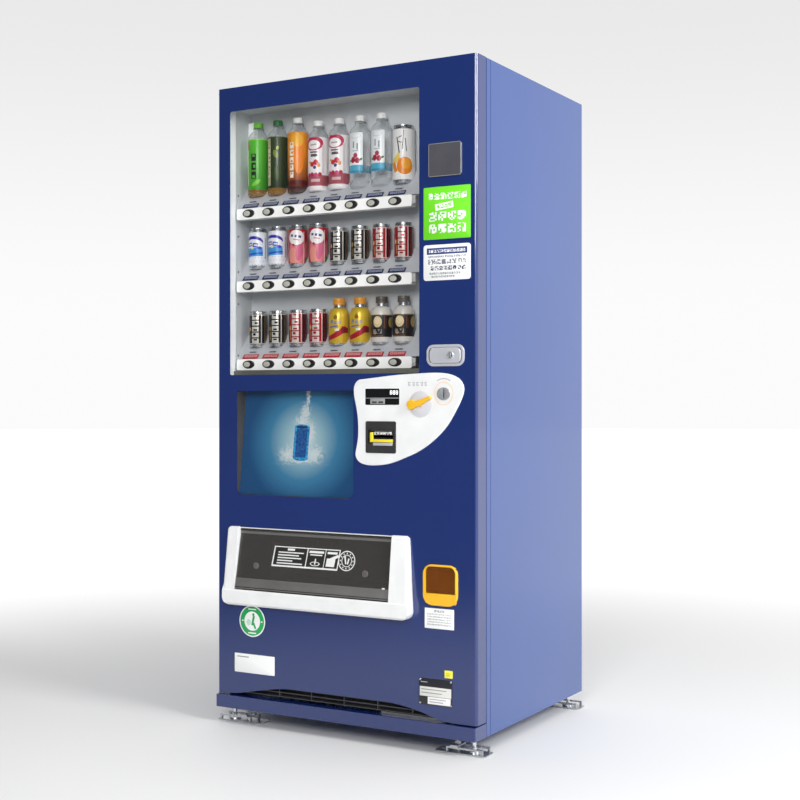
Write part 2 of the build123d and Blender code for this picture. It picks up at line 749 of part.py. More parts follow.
def make_return_lever():
    """Teardrop paddle on a shaft through the fascia."""
    pad = Pos(-25, -1) * Circle(13)
    neck = Pos(-12, 0) * Circle(8)
    tail = Pos(30, 17) * Circle(4.5)
    shape = make_hull((neck + tail).edges()) + pad
    lever = front_prism(Pos(lever_x, lever_z) * shape, -14, -panel_proud - 1.5)
    lever = fillet(lever.faces().sort_by(Axis.Y)[0].edges(), 2.5)
    return lever + rod_y(lever_x, lever_z, lever_shaft_radius, -10, 30)


def make_card_reader():
    face = rounded(reader_x[0], reader_x[1], reader_z[0], reader_z[1], 7)
    reader = front_prism(face, -4, 0)
    reader = fillet(reader.faces().sort_by(Axis.Y)[0].edges(), 1.5)
    throat = rounded(reader_x[0] + 4, reader_x[1] - 4, reader_z[0] + 4, reader_z[1] - 4, 4)
    return reader + front_prism(throat, 0, 24)


def handle_pin_place():
    """Hinge line of the lock handle, as (x, y)."""
    return lock_x[0] + lock_rim + handle_gap + 6, handle_front + handle_thickness - 3


def make_lock_housing():
    """Dished plate that the lock handle folds into."""
    plate = front_prism(rounded(lock_x[0], lock_x[1], lock_z[0], lock_z[1], lock_corner), -3, 0)
    plate = fillet(plate.faces().sort_by(Axis.Y)[0].edges(), 1.5)
    body = front_prism(rounded(lock_x[0] + 4, lock_x[1] - 4, lock_z[0] + 4, lock_z[1] - 4, lock_corner - 4),
                       0, lock_depth)
    dish = rounded(lock_x[0] + lock_rim, lock_x[1] - lock_rim, lock_z[0] + lock_rim, lock_z[1] - lock_rim,
                   lock_corner - lock_rim)
    pin_x, pin_y = handle_pin_place()
    hole = rod_z(pin_x, pin_y, handle_pin_radius + running_gap, lock_z[0] + lock_rim - 3.5,
                 lock_z[1] - lock_rim + 3.5)
    return plate + body - front_prism(dish, -4, lock_depth - 3) - hole


def make_lock_handle():
    """Fold-out handle: plate, hinge pin and the boss that carries the key cylinder."""
    rim = lock_rim + handle_gap
    shape = rounded(lock_x[0] + rim, lock_x[1] - rim, lock_z[0] + lock_rim + 1, lock_z[1] - lock_rim - 1,
                    lock_corner - lock_rim)
    handle = front_prism(shape, handle_front, handle_front + handle_thickness)
    handle = fillet(handle.faces().sort_by(Axis.Y)[0].edges(), 2)
    key_z = (lock_z[0] + lock_z[1]) / 2
    handle += rod_y(key_x, key_z, key_boss_radius, 0, key_back - 2)
    pin_x, pin_y = handle_pin_place()
    handle += rod_z(pin_x, pin_y, handle_pin_radius, lock_z[0] + lock_rim - 3, lock_z[1] - lock_rim + 3)
    return handle - rod_y(key_x, key_z, key_radius + running_gap, handle_front - 1, key_back)


def make_key_cylinder():
    """Round lock barrel with its key slot, and the cam on its rear end."""
    key_z = (lock_z[0] + lock_z[1]) / 2
    barrel = rod_y(key_x, key_z, key_radius, handle_front - 2, key_back - 2)
    return barrel - block(key_x - 1, key_x + 1, handle_front - 3, handle_front + 4, key_z - 5, key_z + 5)


def make_poster_panel():
    """Tray that holds the poster board, leaning back towards the top."""
    x0, x1 = poster_x[0] - 4, poster_x[1] + 4
    z0, z1 = poster_z[0] - 4, poster_z[1] + 4
    outside = [(sheet, z0), (poster_low_y + 3, z0), (poster_high_y + 3, z1), (sheet, z1)]
    inside = [(sheet - 1, z0 + 3), (poster_low_y, z0 + 3), (poster_high_y, z1 - 3), (sheet - 1, z1 - 3)]
    return side_prism(outside, x0, x1) - side_prism(inside, x0 + 3, x1 - 3)


# ---- Delivery port ----

def port_front_y(z):
    """Depth of the port's sloping front face at height z."""
    share = (z - port_opening_z[0]) / (port_z[1] - port_opening_z[0])
    return -tray_projection + 2 + share * (tray_projection - 2 - port_top_projection)


def make_delivery_housing():
    """Side caps, tray lip and the bin that catches the drink."""
    profile = [(0, port_z[0]), (-tray_projection + 6, port_z[0]), (-tray_projection, port_z[0] + 6),
               (-tray_projection, port_opening_z[0] - 4), (port_front_y(port_opening_z[0]), port_opening_z[0]),
               (port_front_y(port_z[1]), port_z[1]), (0, port_z[1])]
    top0, top1 = port_x[0] - port_caps[0], port_x[1] + port_caps[1]
    low0, low1 = top0 - port_flares[0], top1 + port_flares[1]
    face = Polygon((low0, port_z[0]), (low1, port_z[0]), (top1, port_z[1]), (top0, port_z[1]), align=None)
    face = fillet(face.vertices().group_by(Axis.Y)[-1], port_corners[0])
    face = fillet(face.vertices().group_by(Axis.Y)[0], port_corners[1])
    caps = side_prism(profile, low0, low1) & front_prism(face, -tray_projection, 0)
    corners = caps.edges().filter_by(lambda edge: edge.center().Y < -port_top_projection - 4
                                     and (edge.center().X < port_x[0] - 20 or edge.center().X > port_x[1] + 20)
                                     and edge.length > 100)
    caps = fillet(corners, 8)
    floor_z = port_opening_z[0] - 12
    bin_x = (port_x[0] - bin_wall, port_x[1] + bin_wall)
    caps += block(bin_x[0], bin_x[1], 0, bin_back, floor_z - bin_wall, port_z[1] - 2)
    inside = block(port_x[0], port_x[1], -tray_projection + 4, bin_back - bin_wall, floor_z, port_opening_z[1])
    mouth = block(port_x[0], port_x[1], -tray_projection - 1, 1, port_opening_z[0], port_opening_z[1])
    mouth += block(port_x[0], port_x[1], -tray_projection - 1, 0, port_z[1] - 8, port_z[1] + 1)
    middle = (port_x[0] + port_x[1]) / 2
    outlet = block(middle - outlet_half, middle + outlet_half, bin_back - bin_wall - 1, bin_back + 1,
                   outlet_z[0], outlet_z[1])
    housing = caps - inside - mouth - outlet
    pivot_z = flap_pivot_z()
    return housing - rod_x(flap_pivot_y, pivot_z, flap_pin_radius + running_gap, port_x[0] - 8, port_x[1] + 8)


def flap_pivot_z():
    """Height of the delivery flap's hinge line."""
    return port_opening_z[1] - flap_pin_radius - 3


def make_delivery_flap():
    """Flap hung from its top edge, with a gripping bead along its lower edge."""
    pivot_z = flap_pivot_z()
    low_z = port_opening_z[0] + 3
    low_y = port_front_y(low_z) + 3
    outline = [(flap_pivot_y - 2, pivot_z), (flap_pivot_y - 2 + flap_thickness, pivot_z),
               (low_y + flap_thickness, low_z), (low_y, low_z)]
    x0, x1 = port_x[0] + 2, port_x[1] - 2
    flap = side_prism(outline, x0, x1)
    flap += rod_x(flap_pivot_y, pivot_z, flap_pin_radius + 1, x0, x1)
    flap += block(x0, x1, low_y - 1, low_y + 5, low_z, low_z + 6)
    return flap + rod_x(flap_pivot_y, pivot_z, flap_pin_radius, port_x[0] - 7, port_x[1] + 7)


# ---- Coin return ----

def return_inside_x():
    """Clear width of the return cup."""
    return return_x[0] + return_rims[0], return_x[1] - return_rims[1]


def make_coin_return_cup():
    """Framed cup whose floor is below its front lip."""
    frame = Pos((return_x[0] + return_x[1]) / 2, (return_z[0] + return_z[1]) / 2) * Rectangle(
        return_x[1] - return_x[0], return_z[1] - return_z[0])
    frame = fillet(frame.vertices().group_by(Axis.Y)[-1], return_corners[0])
    frame = fillet(frame.vertices().group_by(Axis.Y)[0], return_corners[1])
    cup = front_prism(frame, -6, 0)
    cup = fillet(cup.faces().sort_by(Axis.Y)[0].edges(), 3)
    body = rounded(return_x[0] + 4, return_x[1] - 4, return_z[0] + 4, return_z[1] - 4, 8)
    cup += front_prism(body, 0, return_depth)
    x0, x1 = return_inside_x()
    cup -= front_prism(return_mouth(x0, x1, *return_opening_z, return_arch), -7, 5)
    cup -= block(x0, x1, 2, return_depth - 3, return_z[0] + 16, return_opening_z[1] - 1)
    pipe_x = (return_x[0] + return_x[1]) / 2
    cup -= block(pipe_x - 26, pipe_x + 26, 32, 58, return_opening_z[1] - 2, return_z[1])
    pivot_z = return_pivot_z()
    return cup - rod_x(return_flap_y, pivot_z, 1.5 + running_gap, x0 - 3, x1 + 3)


def return_mouth(x0, x1, z0, z1, corner):
    """Outline with round upper corners, for the return opening and its flap."""
    shape = Pos((x0 + x1) / 2, (z0 + z1) / 2) * Rectangle(x1 - x0, z1 - z0)
    return fillet(shape.vertices().group_by(Axis.Y)[-1], corner)


def return_pivot_z():
    """Height of the return flap's hinge line."""
    return return_opening_z[1] - 4.5


def make_coin_return_flap():
    """Clear flap hung inside the cup's mouth."""
    x0, x1 = return_inside_x()
    pivot_z = return_pivot_z()
    low = return_opening_z[0] + 3
    shape = return_mouth(x0 + 1, x1 - 1, low, pivot_z, return_arch)
    flap = front_prism(shape, return_flap_y, return_flap_y + return_flap_thickness)
    flap += rod_x(return_flap_y, pivot_z, 2.5, x0 + return_arch, x1 - return_arch)
    return flap + rod_x(return_flap_y, pivot_z, 1.5, x0 - 2.5, x1 + 2.5)


def main():
    os.makedirs("parts", exist_ok=True)
    save("cabinet_shell", make_cabinet_shell())
    save("base_skirt", make_base_skirt())
    save("insulated_liner", make_insulated_liner())
    save("leveling_feet", *make_leveling_feet())
    save("foot_plates", *make_foot_plates())
    save("door_hinges", *make_door_hinges())
    save("inner_door", make_inner_door())
    save("product_racks", *make_product_racks())
    save("product_chute", make_product_chute())
    save("compressor", make_compressor())
    save("condenser_coil", make_coil(fan_x - 190, fan_x + 190, 92, 132, floor_gap + 17, deck_z - 20, 8))
    cold_z = cold_fan_z()
    save("evaporator_coil", make_coil(cold_fan_x - 170, cold_fan_x + 170, 500, 580,
                                      chamber_floor, chamber_floor + 105, 4))
    save("condenser_fan", make_fan(fan_x, fan_y, fan_z, fan_radius, 24, 5))
    save("evaporator_fan", make_fan(cold_fan_x, cold_fan_y, cold_z, cold_fan_radius, 16, 5))
    save("fan_motors",
         make_motor(fan_x, fan_y + 20, fan_z, 36, 60, floor_gap + sheet),
         make_motor(cold_fan_x, cold_fan_y + 20, cold_z, 20, 30, chamber_floor))
    save("door_panel", make_door_panel())
    save("door_grille", make_door_grille())
    save("display_box", make_display_box())
    save("display_window", make_display_window())
    save("display_shelves", *make_display_shelves())
    save("button_strips", *make_button_strips())
    save("sample_products", *make_sample_products())
    for row, top in enumerate(strip_tops):
        for column in range(columns):
            save(f"button_r{row + 1}_c{column + 1}", make_button(top, column))
    save("coin_panel", make_coin_panel())
    save("amount_display", make_amount_display())
    save("bill_validator", make_bill_validator())
    save("coin_mechanism", make_coin_mechanism())
    save("return_lever", make_return_lever())
    save("card_reader", make_card_reader())
    save("lock_housing", make_lock_housing())
    save("lock_handle", make_lock_handle())
    save("key_cylinder", make_key_cylinder())
    save("poster_panel", make_poster_panel())
    save("delivery_housing", make_delivery_housing())
    save("delivery_flap", make_delivery_flap())
    save("coin_return_cup", make_coin_return_cup())
    save("coin_return_flap", make_coin_return_flap())


main()
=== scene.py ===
"""Drink vending machine: finishes, printed parts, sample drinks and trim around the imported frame."""
import math

import bmesh
import bpy
from mathutils import Matrix, Vector


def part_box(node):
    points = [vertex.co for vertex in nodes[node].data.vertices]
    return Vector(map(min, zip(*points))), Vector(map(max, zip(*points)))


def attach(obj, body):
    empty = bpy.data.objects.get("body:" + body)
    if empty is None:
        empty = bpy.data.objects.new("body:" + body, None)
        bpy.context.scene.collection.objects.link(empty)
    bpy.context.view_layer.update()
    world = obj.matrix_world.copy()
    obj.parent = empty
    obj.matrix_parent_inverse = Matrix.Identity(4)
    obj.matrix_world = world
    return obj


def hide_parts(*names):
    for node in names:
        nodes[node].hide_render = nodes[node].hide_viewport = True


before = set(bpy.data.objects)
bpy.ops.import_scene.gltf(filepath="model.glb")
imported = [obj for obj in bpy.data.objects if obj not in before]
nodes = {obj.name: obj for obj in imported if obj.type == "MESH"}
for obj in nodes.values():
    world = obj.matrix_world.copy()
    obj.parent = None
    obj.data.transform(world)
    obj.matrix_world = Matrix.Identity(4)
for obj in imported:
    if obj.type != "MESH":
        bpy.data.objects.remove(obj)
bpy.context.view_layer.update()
MM = 0.001

# ---- Places taken from the frame ----
door_low, door_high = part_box("door_panel")
FACE = door_low.y                     # front face of the door
LEFT, RIGHT = door_low.x, door_high.x
COLUMNS = 8
ROWS = 3


# ---- Node and colour helpers ----

def linear(colour):
    """An sRGB hex colour as linear RGBA."""
    channels = [int(colour[i:i + 2], 16) / 255 for i in (1, 3, 5)]
    return tuple(c / 12.92 if c <= 0.04045 else ((c + 0.055) / 1.055) ** 2.4 for c in channels) + (1.0,)


def add(tree, kind, inputs=None, output=0, **settings):
    """Adds one node with its settings, sets or links its inputs, and returns one of its outputs."""
    node = tree.nodes.new("ShaderNode" + kind)
    for key, value in settings.items():
        setattr(node, key, value)
    for key, value in (inputs or {}).items():
        if isinstance(value, bpy.types.NodeSocket):
            tree.links.new(value, node.inputs[key])
        else:
            node.inputs[key].default_value = value
    return node.outputs[output] if output is not None else node


def material(name, colour, roughness, **sockets):
    """A Principled material with its constants on the shader's own sockets."""
    made = bpy.data.materials.new(name)
    made.use_nodes = True
    tree = made.node_tree
    tree.nodes.clear()
    shader = add(tree, "BsdfPrincipled", {"Base Color": linear(colour), "Roughness": roughness}).node
    for key, value in sockets.items():
        shader.inputs[key.replace("_", " ")].default_value = value
    add(tree, "OutputMaterial", {"Surface": shader.outputs[0]}, output=None)
    return made, tree, shader


def real_noise(tree, size_mm, detail, stretch=(1, 1, 1)):
    """Noise of a real size, in Object coordinates."""
    place = add(tree, "TexCoord", output="Object")
    if stretch != (1, 1, 1):
        place = add(tree, "Mapping", {"Vector": place, "Scale": stretch})
    return add(tree, "TexNoise", {"Vector": place, "Scale": 1000 / size_mm, "Detail": detail})


def grain(tree, shader, size_mm, depth_mm, stretch=(1, 1, 1)):
    """Fine relief."""
    noise = real_noise(tree, size_mm, 3.0, stretch)
    relief = add(tree, "Bump", {"Height": noise, "Strength": 1.0, "Distance": depth_mm * MM})
    tree.links.new(relief, shader.inputs["Normal"])


def vary(tree, shader, colour, other, size_mm):
    """Slow change between two colours."""
    noise = real_noise(tree, size_mm, 4.0)
    share = add(tree, "MapRange", {"Value": noise, "From Min": 0.35, "From Max": 0.7})
    mixed = add(tree, "Mix", {"Factor": share, 6: linear(colour), 7: linear(other)},
                output=2, data_type="RGBA")
    tree.links.new(mixed, shader.inputs["Base Color"])


def rough_range(tree, shader, low, high, size_mm):
    """Roughness that drifts between two values, as wiped and handled surfaces do."""
    noise = real_noise(tree, size_mm, 5.0)
    value = add(tree, "MapRange", {"Value": noise, "From Min": 0.3, "From Max": 0.7,
                                             "To Min": low, "To Max": high})
    tree.links.new(value, shader.inputs["Roughness"])


# ---- Print helpers ----
# A print is a list of shapes on the print's own UVs. "marks" is a line of small meaningless marks, as wide
# apart as print of that height.

def shape(form):
    """A maker of one form of shape: centre and half size in millimetres, colour and turn in degrees."""
    def make(x, z, half_x, half_z, ink, turn=0):
        return form, (x * MM, z * MM), (half_x * MM, half_z * MM), turn, ink
    return make


block, oval, marks = shape("block"), shape("oval"), shape("marks")


def from_centre(tree, place, centre, half, turn=0):
    """Place measured from a shape's centre, in metres and as a share of the shape's half size."""
    offset = add(tree, "VectorMath", {0: place, 1: (*centre, 0)}, operation="SUBTRACT")
    if turn:
        offset = add(tree, "VectorRotate", {"Vector": offset, "Angle": math.radians(-turn)},
                     rotation_type="Z_AXIS")
    return offset, add(tree, "VectorMath", {0: offset, 1: (*half, 1)}, operation="DIVIDE")


def shape_mask(tree, place, form, centre, half, turn):
    """1 inside an oval, a block or a line of small marks, 0 outside."""
    offset, scaled = from_centre(tree, place, centre, half, turn)
    if form == "oval":
        reach = add(tree, "VectorMath", {0: scaled}, output="Value", operation="LENGTH")
    else:
        sides = add(tree, "VectorMath", {0: scaled}, operation="ABSOLUTE")
        split = add(tree, "SeparateXYZ", {0: sides}, output=None)
        reach = add(tree, "Math", {0: split.outputs[0], 1: split.outputs[1]}, operation="MAXIMUM")
    inside = add(tree, "Math", {0: reach, 1: 1.0}, operation="LESS_THAN")
    if form != "marks":
        return inside
    step = half[1] / 2.5
    cell = add(tree, "VectorMath", {0: offset, 1: (step, step, 1)}, operation="DIVIDE")
    snapped = add(tree, "VectorMath", {0: cell}, operation="FLOOR")
    seeded = add(tree, "VectorMath", {0: snapped, 1: (0, 0, round(1000 * (centre[1] - 2 * centre[0])))},
                 operation="ADD")
    chance = add(tree, "TexWhiteNoise", {"Vector": seeded}, output="Value")
    stroke = add(tree, "Math", {0: chance, 1: 0.62}, operation="LESS_THAN")
    along = add(tree, "SeparateXYZ", {0: cell}, output=None)
    share = add(tree, "Math", {0: along.outputs[0], 1: 1 / 6}, operation="MULTIPLY")
    part = add(tree, "Math", {0: share}, operation="FRACT")
    mark = add(tree, "Math", {0: part, 1: 5 / 6}, operation="LESS_THAN")
    both = add(tree, "Math", {0: stroke, 1: mark}, operation="MULTIPLY")
    return add(tree, "Math", {0: inside, 1: both}, operation="MULTIPLY")


def print_colours(tree, ground, shapes, fade=None):
    """Lays the shapes of a print over its ground colour and returns the colour."""
    place = add(tree, "UVMap", uv_map="print")
    colour = linear(ground)
    if fade:
        low, high, top = fade
        split = add(tree, "SeparateXYZ", {0: place}, output=None)
        share = add(tree, "MapRange", {"Value": split.outputs[1], "From Min": low, "From Max": high})
        colour = add(tree, "Mix", {"Factor": share, 6: colour, 7: linear(top)},
                     output=2, data_type="RGBA")
    for *outline, ink in shapes:
        mask = shape_mask(tree, place, *outline)
        colour = add(tree, "Mix", {"Factor": mask, 6: colour, 7: linear(ink)},
                     output=2, data_type="RGBA")
    return colour


def printed(name, ground, shapes, fade=None, roughness=0.3, window=None, **sockets):
    """A printed film: the print's colours under a thin even gloss, clear outside its window if it has one."""
    made, tree, shader = material(name, ground, roughness, **sockets)
    colour = print_colours(tree, ground, shapes, fade)
    if isinstance(colour, bpy.types.NodeSocket):
        tree.links.new(colour, shader.inputs["Base Color"])
    if window:
        place = add(tree, "UVMap", uv_map="print")
        inside = shape_mask(tree, place, *window)
        rim = add(tree, "LayerWeight", {"Blend": 0.5}, output="Facing")
        clear = add(tree, "MapRange", {"Value": rim, "To Min": 0.1, "To Max": 0.8})
        tree.links.new(add(tree, "Math", {0: inside, 1: clear}, operation="MAXIMUM"),
                       shader.inputs["Alpha"])
    grain(tree, shader, 1.5, 0.01)
    return made


def dashes(left, top, width, lines, pitch, thick, ink):
    """Rows of short bars that stand for small print, shorter on every other line."""
    bars = []
    for line in range(lines):
        length = width * (1.0, 0.82, 0.93, 0.6)[line % 4]
        bars.append(block(left + length / 2, top - line * pitch, length / 2, thick / 2, ink))
    return bars


# ---- Mesh helpers ----

SHARP_ANGLE = 35.0      # degrees: a sharper fold than this keeps its edge


def keep(name, bm, materials, body="door"):
    """Turns a bmesh into a finished piece that rides on a body."""
    mesh = bpy.data.meshes.new(name)
    bm.normal_update()
    bm.to_mesh(mesh)
    bm.free()
    mesh.shade_smooth()
    mesh.set_sharp_from_angle(angle=math.radians(SHARP_ANGLE))
    for made in materials if isinstance(materials, (list, tuple)) else [materials]:
        mesh.materials.append(made)
    piece = bpy.data.objects.new(name, mesh)
    bpy.context.scene.collection.objects.link(piece)
    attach(piece, body)
    return piece


def soften(bm, edges, width, segments=2):
    """Rounds edges by a real width."""
    bmesh.ops.bevel(bm, geom=edges, offset=width, offset_type="OFFSET", segments=segments, profile=0.5,
                    affect="EDGES", material=-1, clamp_overlap=True)


def brick(bm, low, high, edge, segments=2):
    """Adds a box between two corners, with its edges rounded."""
    low, high = Vector(low), Vector(high)
    place = Matrix.Translation((low + high) / 2) @ Matrix.Diagonal((*(high - low), 1.0))
    made = bmesh.ops.create_cube(bm, size=1.0, matrix=place)
    soften(bm, list({e for v in made["verts"] for e in v.link_edges}), edge, segments)


def lathe(bm, profile, centre, axis="Z", steps=48):
    """Spins a profile of (radius, height) about an axis through the centre."""
    turn = {"Z": Matrix.Identity(4), "Y": Matrix.Rotation(math.radians(90), 4, "X"),
            "X": Matrix.Rotation(math.radians(90), 4, "Y")}[axis]
    verts = [bm.verts.new((radius, 0, height)) for radius, height in profile]
    edges = [bm.edges.new(pair) for pair in zip(verts, verts[1:])]
    before = set(bm.faces)
    bmesh.ops.spin(bm, geom=verts + edges, cent=(0, 0, 0), axis=(0, 0, 1), angle=math.tau, steps=steps,
                   use_merge=True)
    faces = [face for face in bm.faces if face not in before]
    points = list({vert for face in faces for vert in face.verts})
    bmesh.ops.remove_doubles(bm, verts=points, dist=1e-6)
    faces = [face for face in bm.faces if face not in before]
    bmesh.ops.recalc_face_normals(bm, faces=faces)
    points = list({vert for face in faces for vert in face.verts})
    bmesh.ops.transform(bm, matrix=Matrix.Translation(centre) @ turn, verts=points)


def rounded_outline(x0, x1, z0, z1, radius, steps=6):
    """Corner points of a rectangle with round corners, in X and Z."""
    points = []
    corners = ((x1, z1, 0), (x0, z1, 90), (x0, z0, 180), (x1, z0, 270))
    for x, z, start in corners:
        cx = x - radius if x == x1 else x + radius
        cz = z - radius if z == z1 else z + radius
        for step in range(steps + 1):
            angle = math.radians(start + 90 * step / steps)
            points.append((cx + radius * math.cos(angle), cz + radius * math.sin(angle)))
    return points


def inset_outline(low, high, gap, radius, steps=6):
    """Corner points of a box's front view, drawn in by a gap, with round corners."""
    return rounded_outline(low.x + gap, high.x - gap, low.z + gap, high.z - gap, radius, steps)


def oval_outline(x, z, half_x, half_z, steps=40):
    """Points round an ellipse, in X and Z."""
    return [(x + half_x * math.cos(math.tau * s / steps), z + half_z * math.sin(math.tau * s / steps))
            for s in range(steps)]


def plate(bm, outline, y_front, thickness, edge=0.0, index=0):
    """A flat plate facing the buyer, from an outline in X and Z."""
    verts = [bm.verts.new((x, y_front, z)) for x, z in outline]
    face = bm.faces.new(verts)
    made = bmesh.ops.extrude_face_region(bm, geom=[face])
    moved = [item for item in made["geom"] if isinstance(item, bmesh.types.BMVert)]
    bmesh.ops.translate(bm, verts=moved, vec=(0, thickness, 0))
    faces = {f for v in verts + moved for f in v.link_faces}
    bmesh.ops.recalc_face_normals(bm, faces=list(faces))
    for item in faces:
        item.material_index = index
    if edge:
        rim = [e for e in {e for v in verts for e in v.link_edges}
               if all(abs(v.co.y - y_front) < 1e-7 for v in e.verts)]
        soften(bm, rim, edge)


def frame_ring(bm, outer, inner, y_front, thickness, edge=0.0):
    """A flat ring between two outlines that have the same number of points."""
    rims = []
    for outline in (outer, inner):
        verts = [bm.verts.new((x, y_front, z)) for x, z in outline]
        rims += [bm.edges.new((verts[i - 1], verts[i])) for i in range(len(verts))]
    made = bmesh.ops.bridge_loops(bm, edges=rims)["faces"]
    lifted = bmesh.ops.extrude_face_region(bm, geom=made, use_keep_orig=True)["geom"]
    moved = [item for item in lifted if isinstance(item, bmesh.types.BMVert)]
    bmesh.ops.translate(bm, verts=moved, vec=(0, thickness, 0))
    faces = list({face for face in made if face.is_valid} | {face for vert in moved
                                                             for face in vert.link_faces})
    bmesh.ops.recalc_face_normals(bm, faces=faces)
    if edge:
        soften(bm, [rim for rim in rims if rim.is_valid], edge)


def flat_print(bm, centre_x, centre_z):
    """UVs in metres from a centre, for prints that face the buyer."""
    layer = bm.loops.layers.uv.new("print")
    for face in bm.faces:
        for loop in face.loops:
            loop[layer].uv = (loop.vert.co.x - centre_x, loop.vert.co.z - centre_z)


def wrap_print(bm, centre_x, centre_y, base_z, radius):
    """UVs in metres round a drink: 0 faces the buyer, and height is from its base."""
    layer = bm.loops.layers.uv.new("print")
    for face in bm.faces:
        angles = [math.atan2(l.vert.co.x - centre_x, centre_y - l.vert.co.y) for l in face.loops]
        if max(angles) - min(angles) > math.pi:
            angles = [a + math.tau if a < 0 else a for a in angles]
        for loop, angle in zip(face.loops, angles):
            loop[layer].uv = (angle * radius, loop.vert.co.z - base_z)


# ---- Finishes ----

def blue_paint(name, colour, deeper, gloss, lacquer):
    """Gloss powder coat on folded steel: slight orange peel, faint dust and drift in colour."""
    made, tree, shader = material(name, colour, gloss, Coat_Weight=lacquer, Coat_Roughness=0.06, IOR=1.5)
    vary(tree, shader, colour, deeper, 900)
    grain(tree, shader, 4.0, 0.012)
    return made


def moulded(name, colour, other, roughness, size_mm=1.2, depth_mm=0.02, **sockets):
    """Injection-moulded ABS: an even spark-eroded texture and a faint drift in colour."""
    made, tree, shader = material(name, colour, roughness, IOR=1.5, **sockets)
    vary(tree, shader, colour, other, 60)
    grain(tree, shader, size_mm, depth_mm)
    return made


def plated(name, colour, other, low, high, size_mm, stretch=(1, 1, 1)):
    """Bright metal plating: crystals or brush lines that change its roughness and colour."""
    made, tree, shader = material(name, colour, low, Metallic=1.0)
    vary(tree, shader, colour, other, size_mm * 3)
    rough_range(tree, shader, low, high, size_mm)
    grain(tree, shader, size_mm, 0.01, stretch)
    return made


def clear_sheet(name, colour, alpha_face, alpha_edge, roughness=0.03):
    """Clear or smoked acrylic: more mirror and less see-through towards grazing angles."""
    made, tree, shader = material(name, colour, roughness, IOR=1.49)
    facing = add(tree, "LayerWeight", {"Blend": 0.25}, output="Facing")
    grain(tree, shader, 40.0, 0.02)
    alpha = add(tree, "MapRange", {"Value": facing, "To Min": alpha_face, "To Max": alpha_edge})
    tree.links.new(alpha, shader.inputs["Alpha"])
    return made


def lamp(name, colour, strength):
    """A diffuser lit from behind."""
    made, tree, shader = material(name, colour, 0.4, Emission_Strength=strength)
    shader.inputs["Emission Color"].default_value = linear(colour)
    grain(tree, shader, 2.0, 0.01)
    return made


door_blue = blue_paint("powder_coated_steel_navy", "#112B6C", "#0F2864", 0.2, 1.0)
# Painted light: the cabinet shell has the same navy paint as the door; this lighter blue stands in for the
# stronger light that falls on the cabinet's sides.
side_blue_painted_light = blue_paint("powder_coated_steel_blue_painted_light", "#24488C", "#214384", 0.26, 0.7)
white_abs = moulded("moulded_abs_white", "#F1F2F2", "#E9EAEA", 0.32, Coat_Weight=0.15)
strip_white = moulded("moulded_abs_strip", "#F4F4F2", "#ECECEA", 0.4)
display_grey = moulded("painted_sheet_display", "#D4D7D9", "#CCCFD2", 0.5, 2.0, 0.01)
shelf_grey = moulded("painted_sheet_shelf", "#CFD1D6", "#C6C9CE", 0.45, 2.0, 0.01)
button_black = moulded("moulded_abs_black", "#1B1B1D", "#242427", 0.3, 0.8, 0.01, Coat_Weight=0.3)
plastic_black = moulded("textured_abs_black", "#2A2A2C", "#323234", 0.5, 1.0, 0.05)
plastic_grey = moulded("textured_abs_grey", "#9B9D9F", "#929496", 0.45, 1.0, 0.04)
lens_grey = moulded("frosted_lens_grey", "#B4B4A8", "#A8A89C", 0.35, 0.8, 0.02)
yellow_abs = moulded("moulded_abs_yellow", "#F5BE2E", "#EDB426", 0.35)
silver_paint = moulded("silver_lacquered_zinc", "#CFD1D8", "#C7C9D0", 0.3, 0.6, 0.01, Metallic=0.3)
smoke_grey = moulded("moulded_abs_smoke_grey", "#505056", "#49494F", 0.22, Coat_Weight=0.5)
slat_grey = moulded("satin_painted_slat", "#3C3C42", "#46464C", 0.28, 1.5, 0.02)
chrome = plated("bright_chrome", "#E4E5E8", "#DADCE0", 0.05, 0.12, 20.0)
zinc = plated("zinc_plated_steel", "#C9CCCF", "#B4B8BC", 0.22, 0.42, 6.0)
galvanised = plated("galvanised_sheet", "#B6BABD", "#9FA4A8", 0.3, 0.5, 14.0)
fin_metal = plated("rolled_aluminium_fin", "#C4C8CB", "#B2B7BA", 0.3, 0.45, 3.0, (1, 1, 12))
black_enamel = moulded("black_enamel_steel", "#17181A", "#1F2022", 0.25, 3.0, 0.01, Coat_Weight=0.4)
liner_white = moulded("vacuum_formed_liner_white", "#E4E7E8", "#DADEE0", 0.38, 3.0, 0.02)
slat_black = moulded("satin_black_slat", "#1D1D20", "#28282B", 0.38, 1.5, 0.02)
rubber_black = moulded("epdm_gasket", "#1A1A1A", "#262626", 0.75, 0.8, 0.05)
board_grey = moulded("poster_tray_grey", "#5C5854", "#524E4A", 0.5, 2.0, 0.02)
screen_black = material("polished_black_screen", "#0C0D10", 0.08, Coat_Weight=0.5)[0]
clear_acrylic = clear_sheet("clear_acrylic_pane", "#39434A", 0.03, 0.5)
smoked_acrylic = clear_sheet("smoked_acrylic_flap", "#454341", 0.7, 0.95, 0.07)
amber_acrylic = clear_sheet("amber_acrylic_flap", "#7A4214", 0.6, 0.9, 0.07)
lamp_white = lamp("led_diffuser_white", "#EEF2F2", 0.25)
clip_grey = moulded("moulded_abs_clip", "#B4B5B3", "#A9AAA8", 0.4)
rail_olive = moulded("painted_rail_olive", "#5E5F55", "#55564D", 0.45)

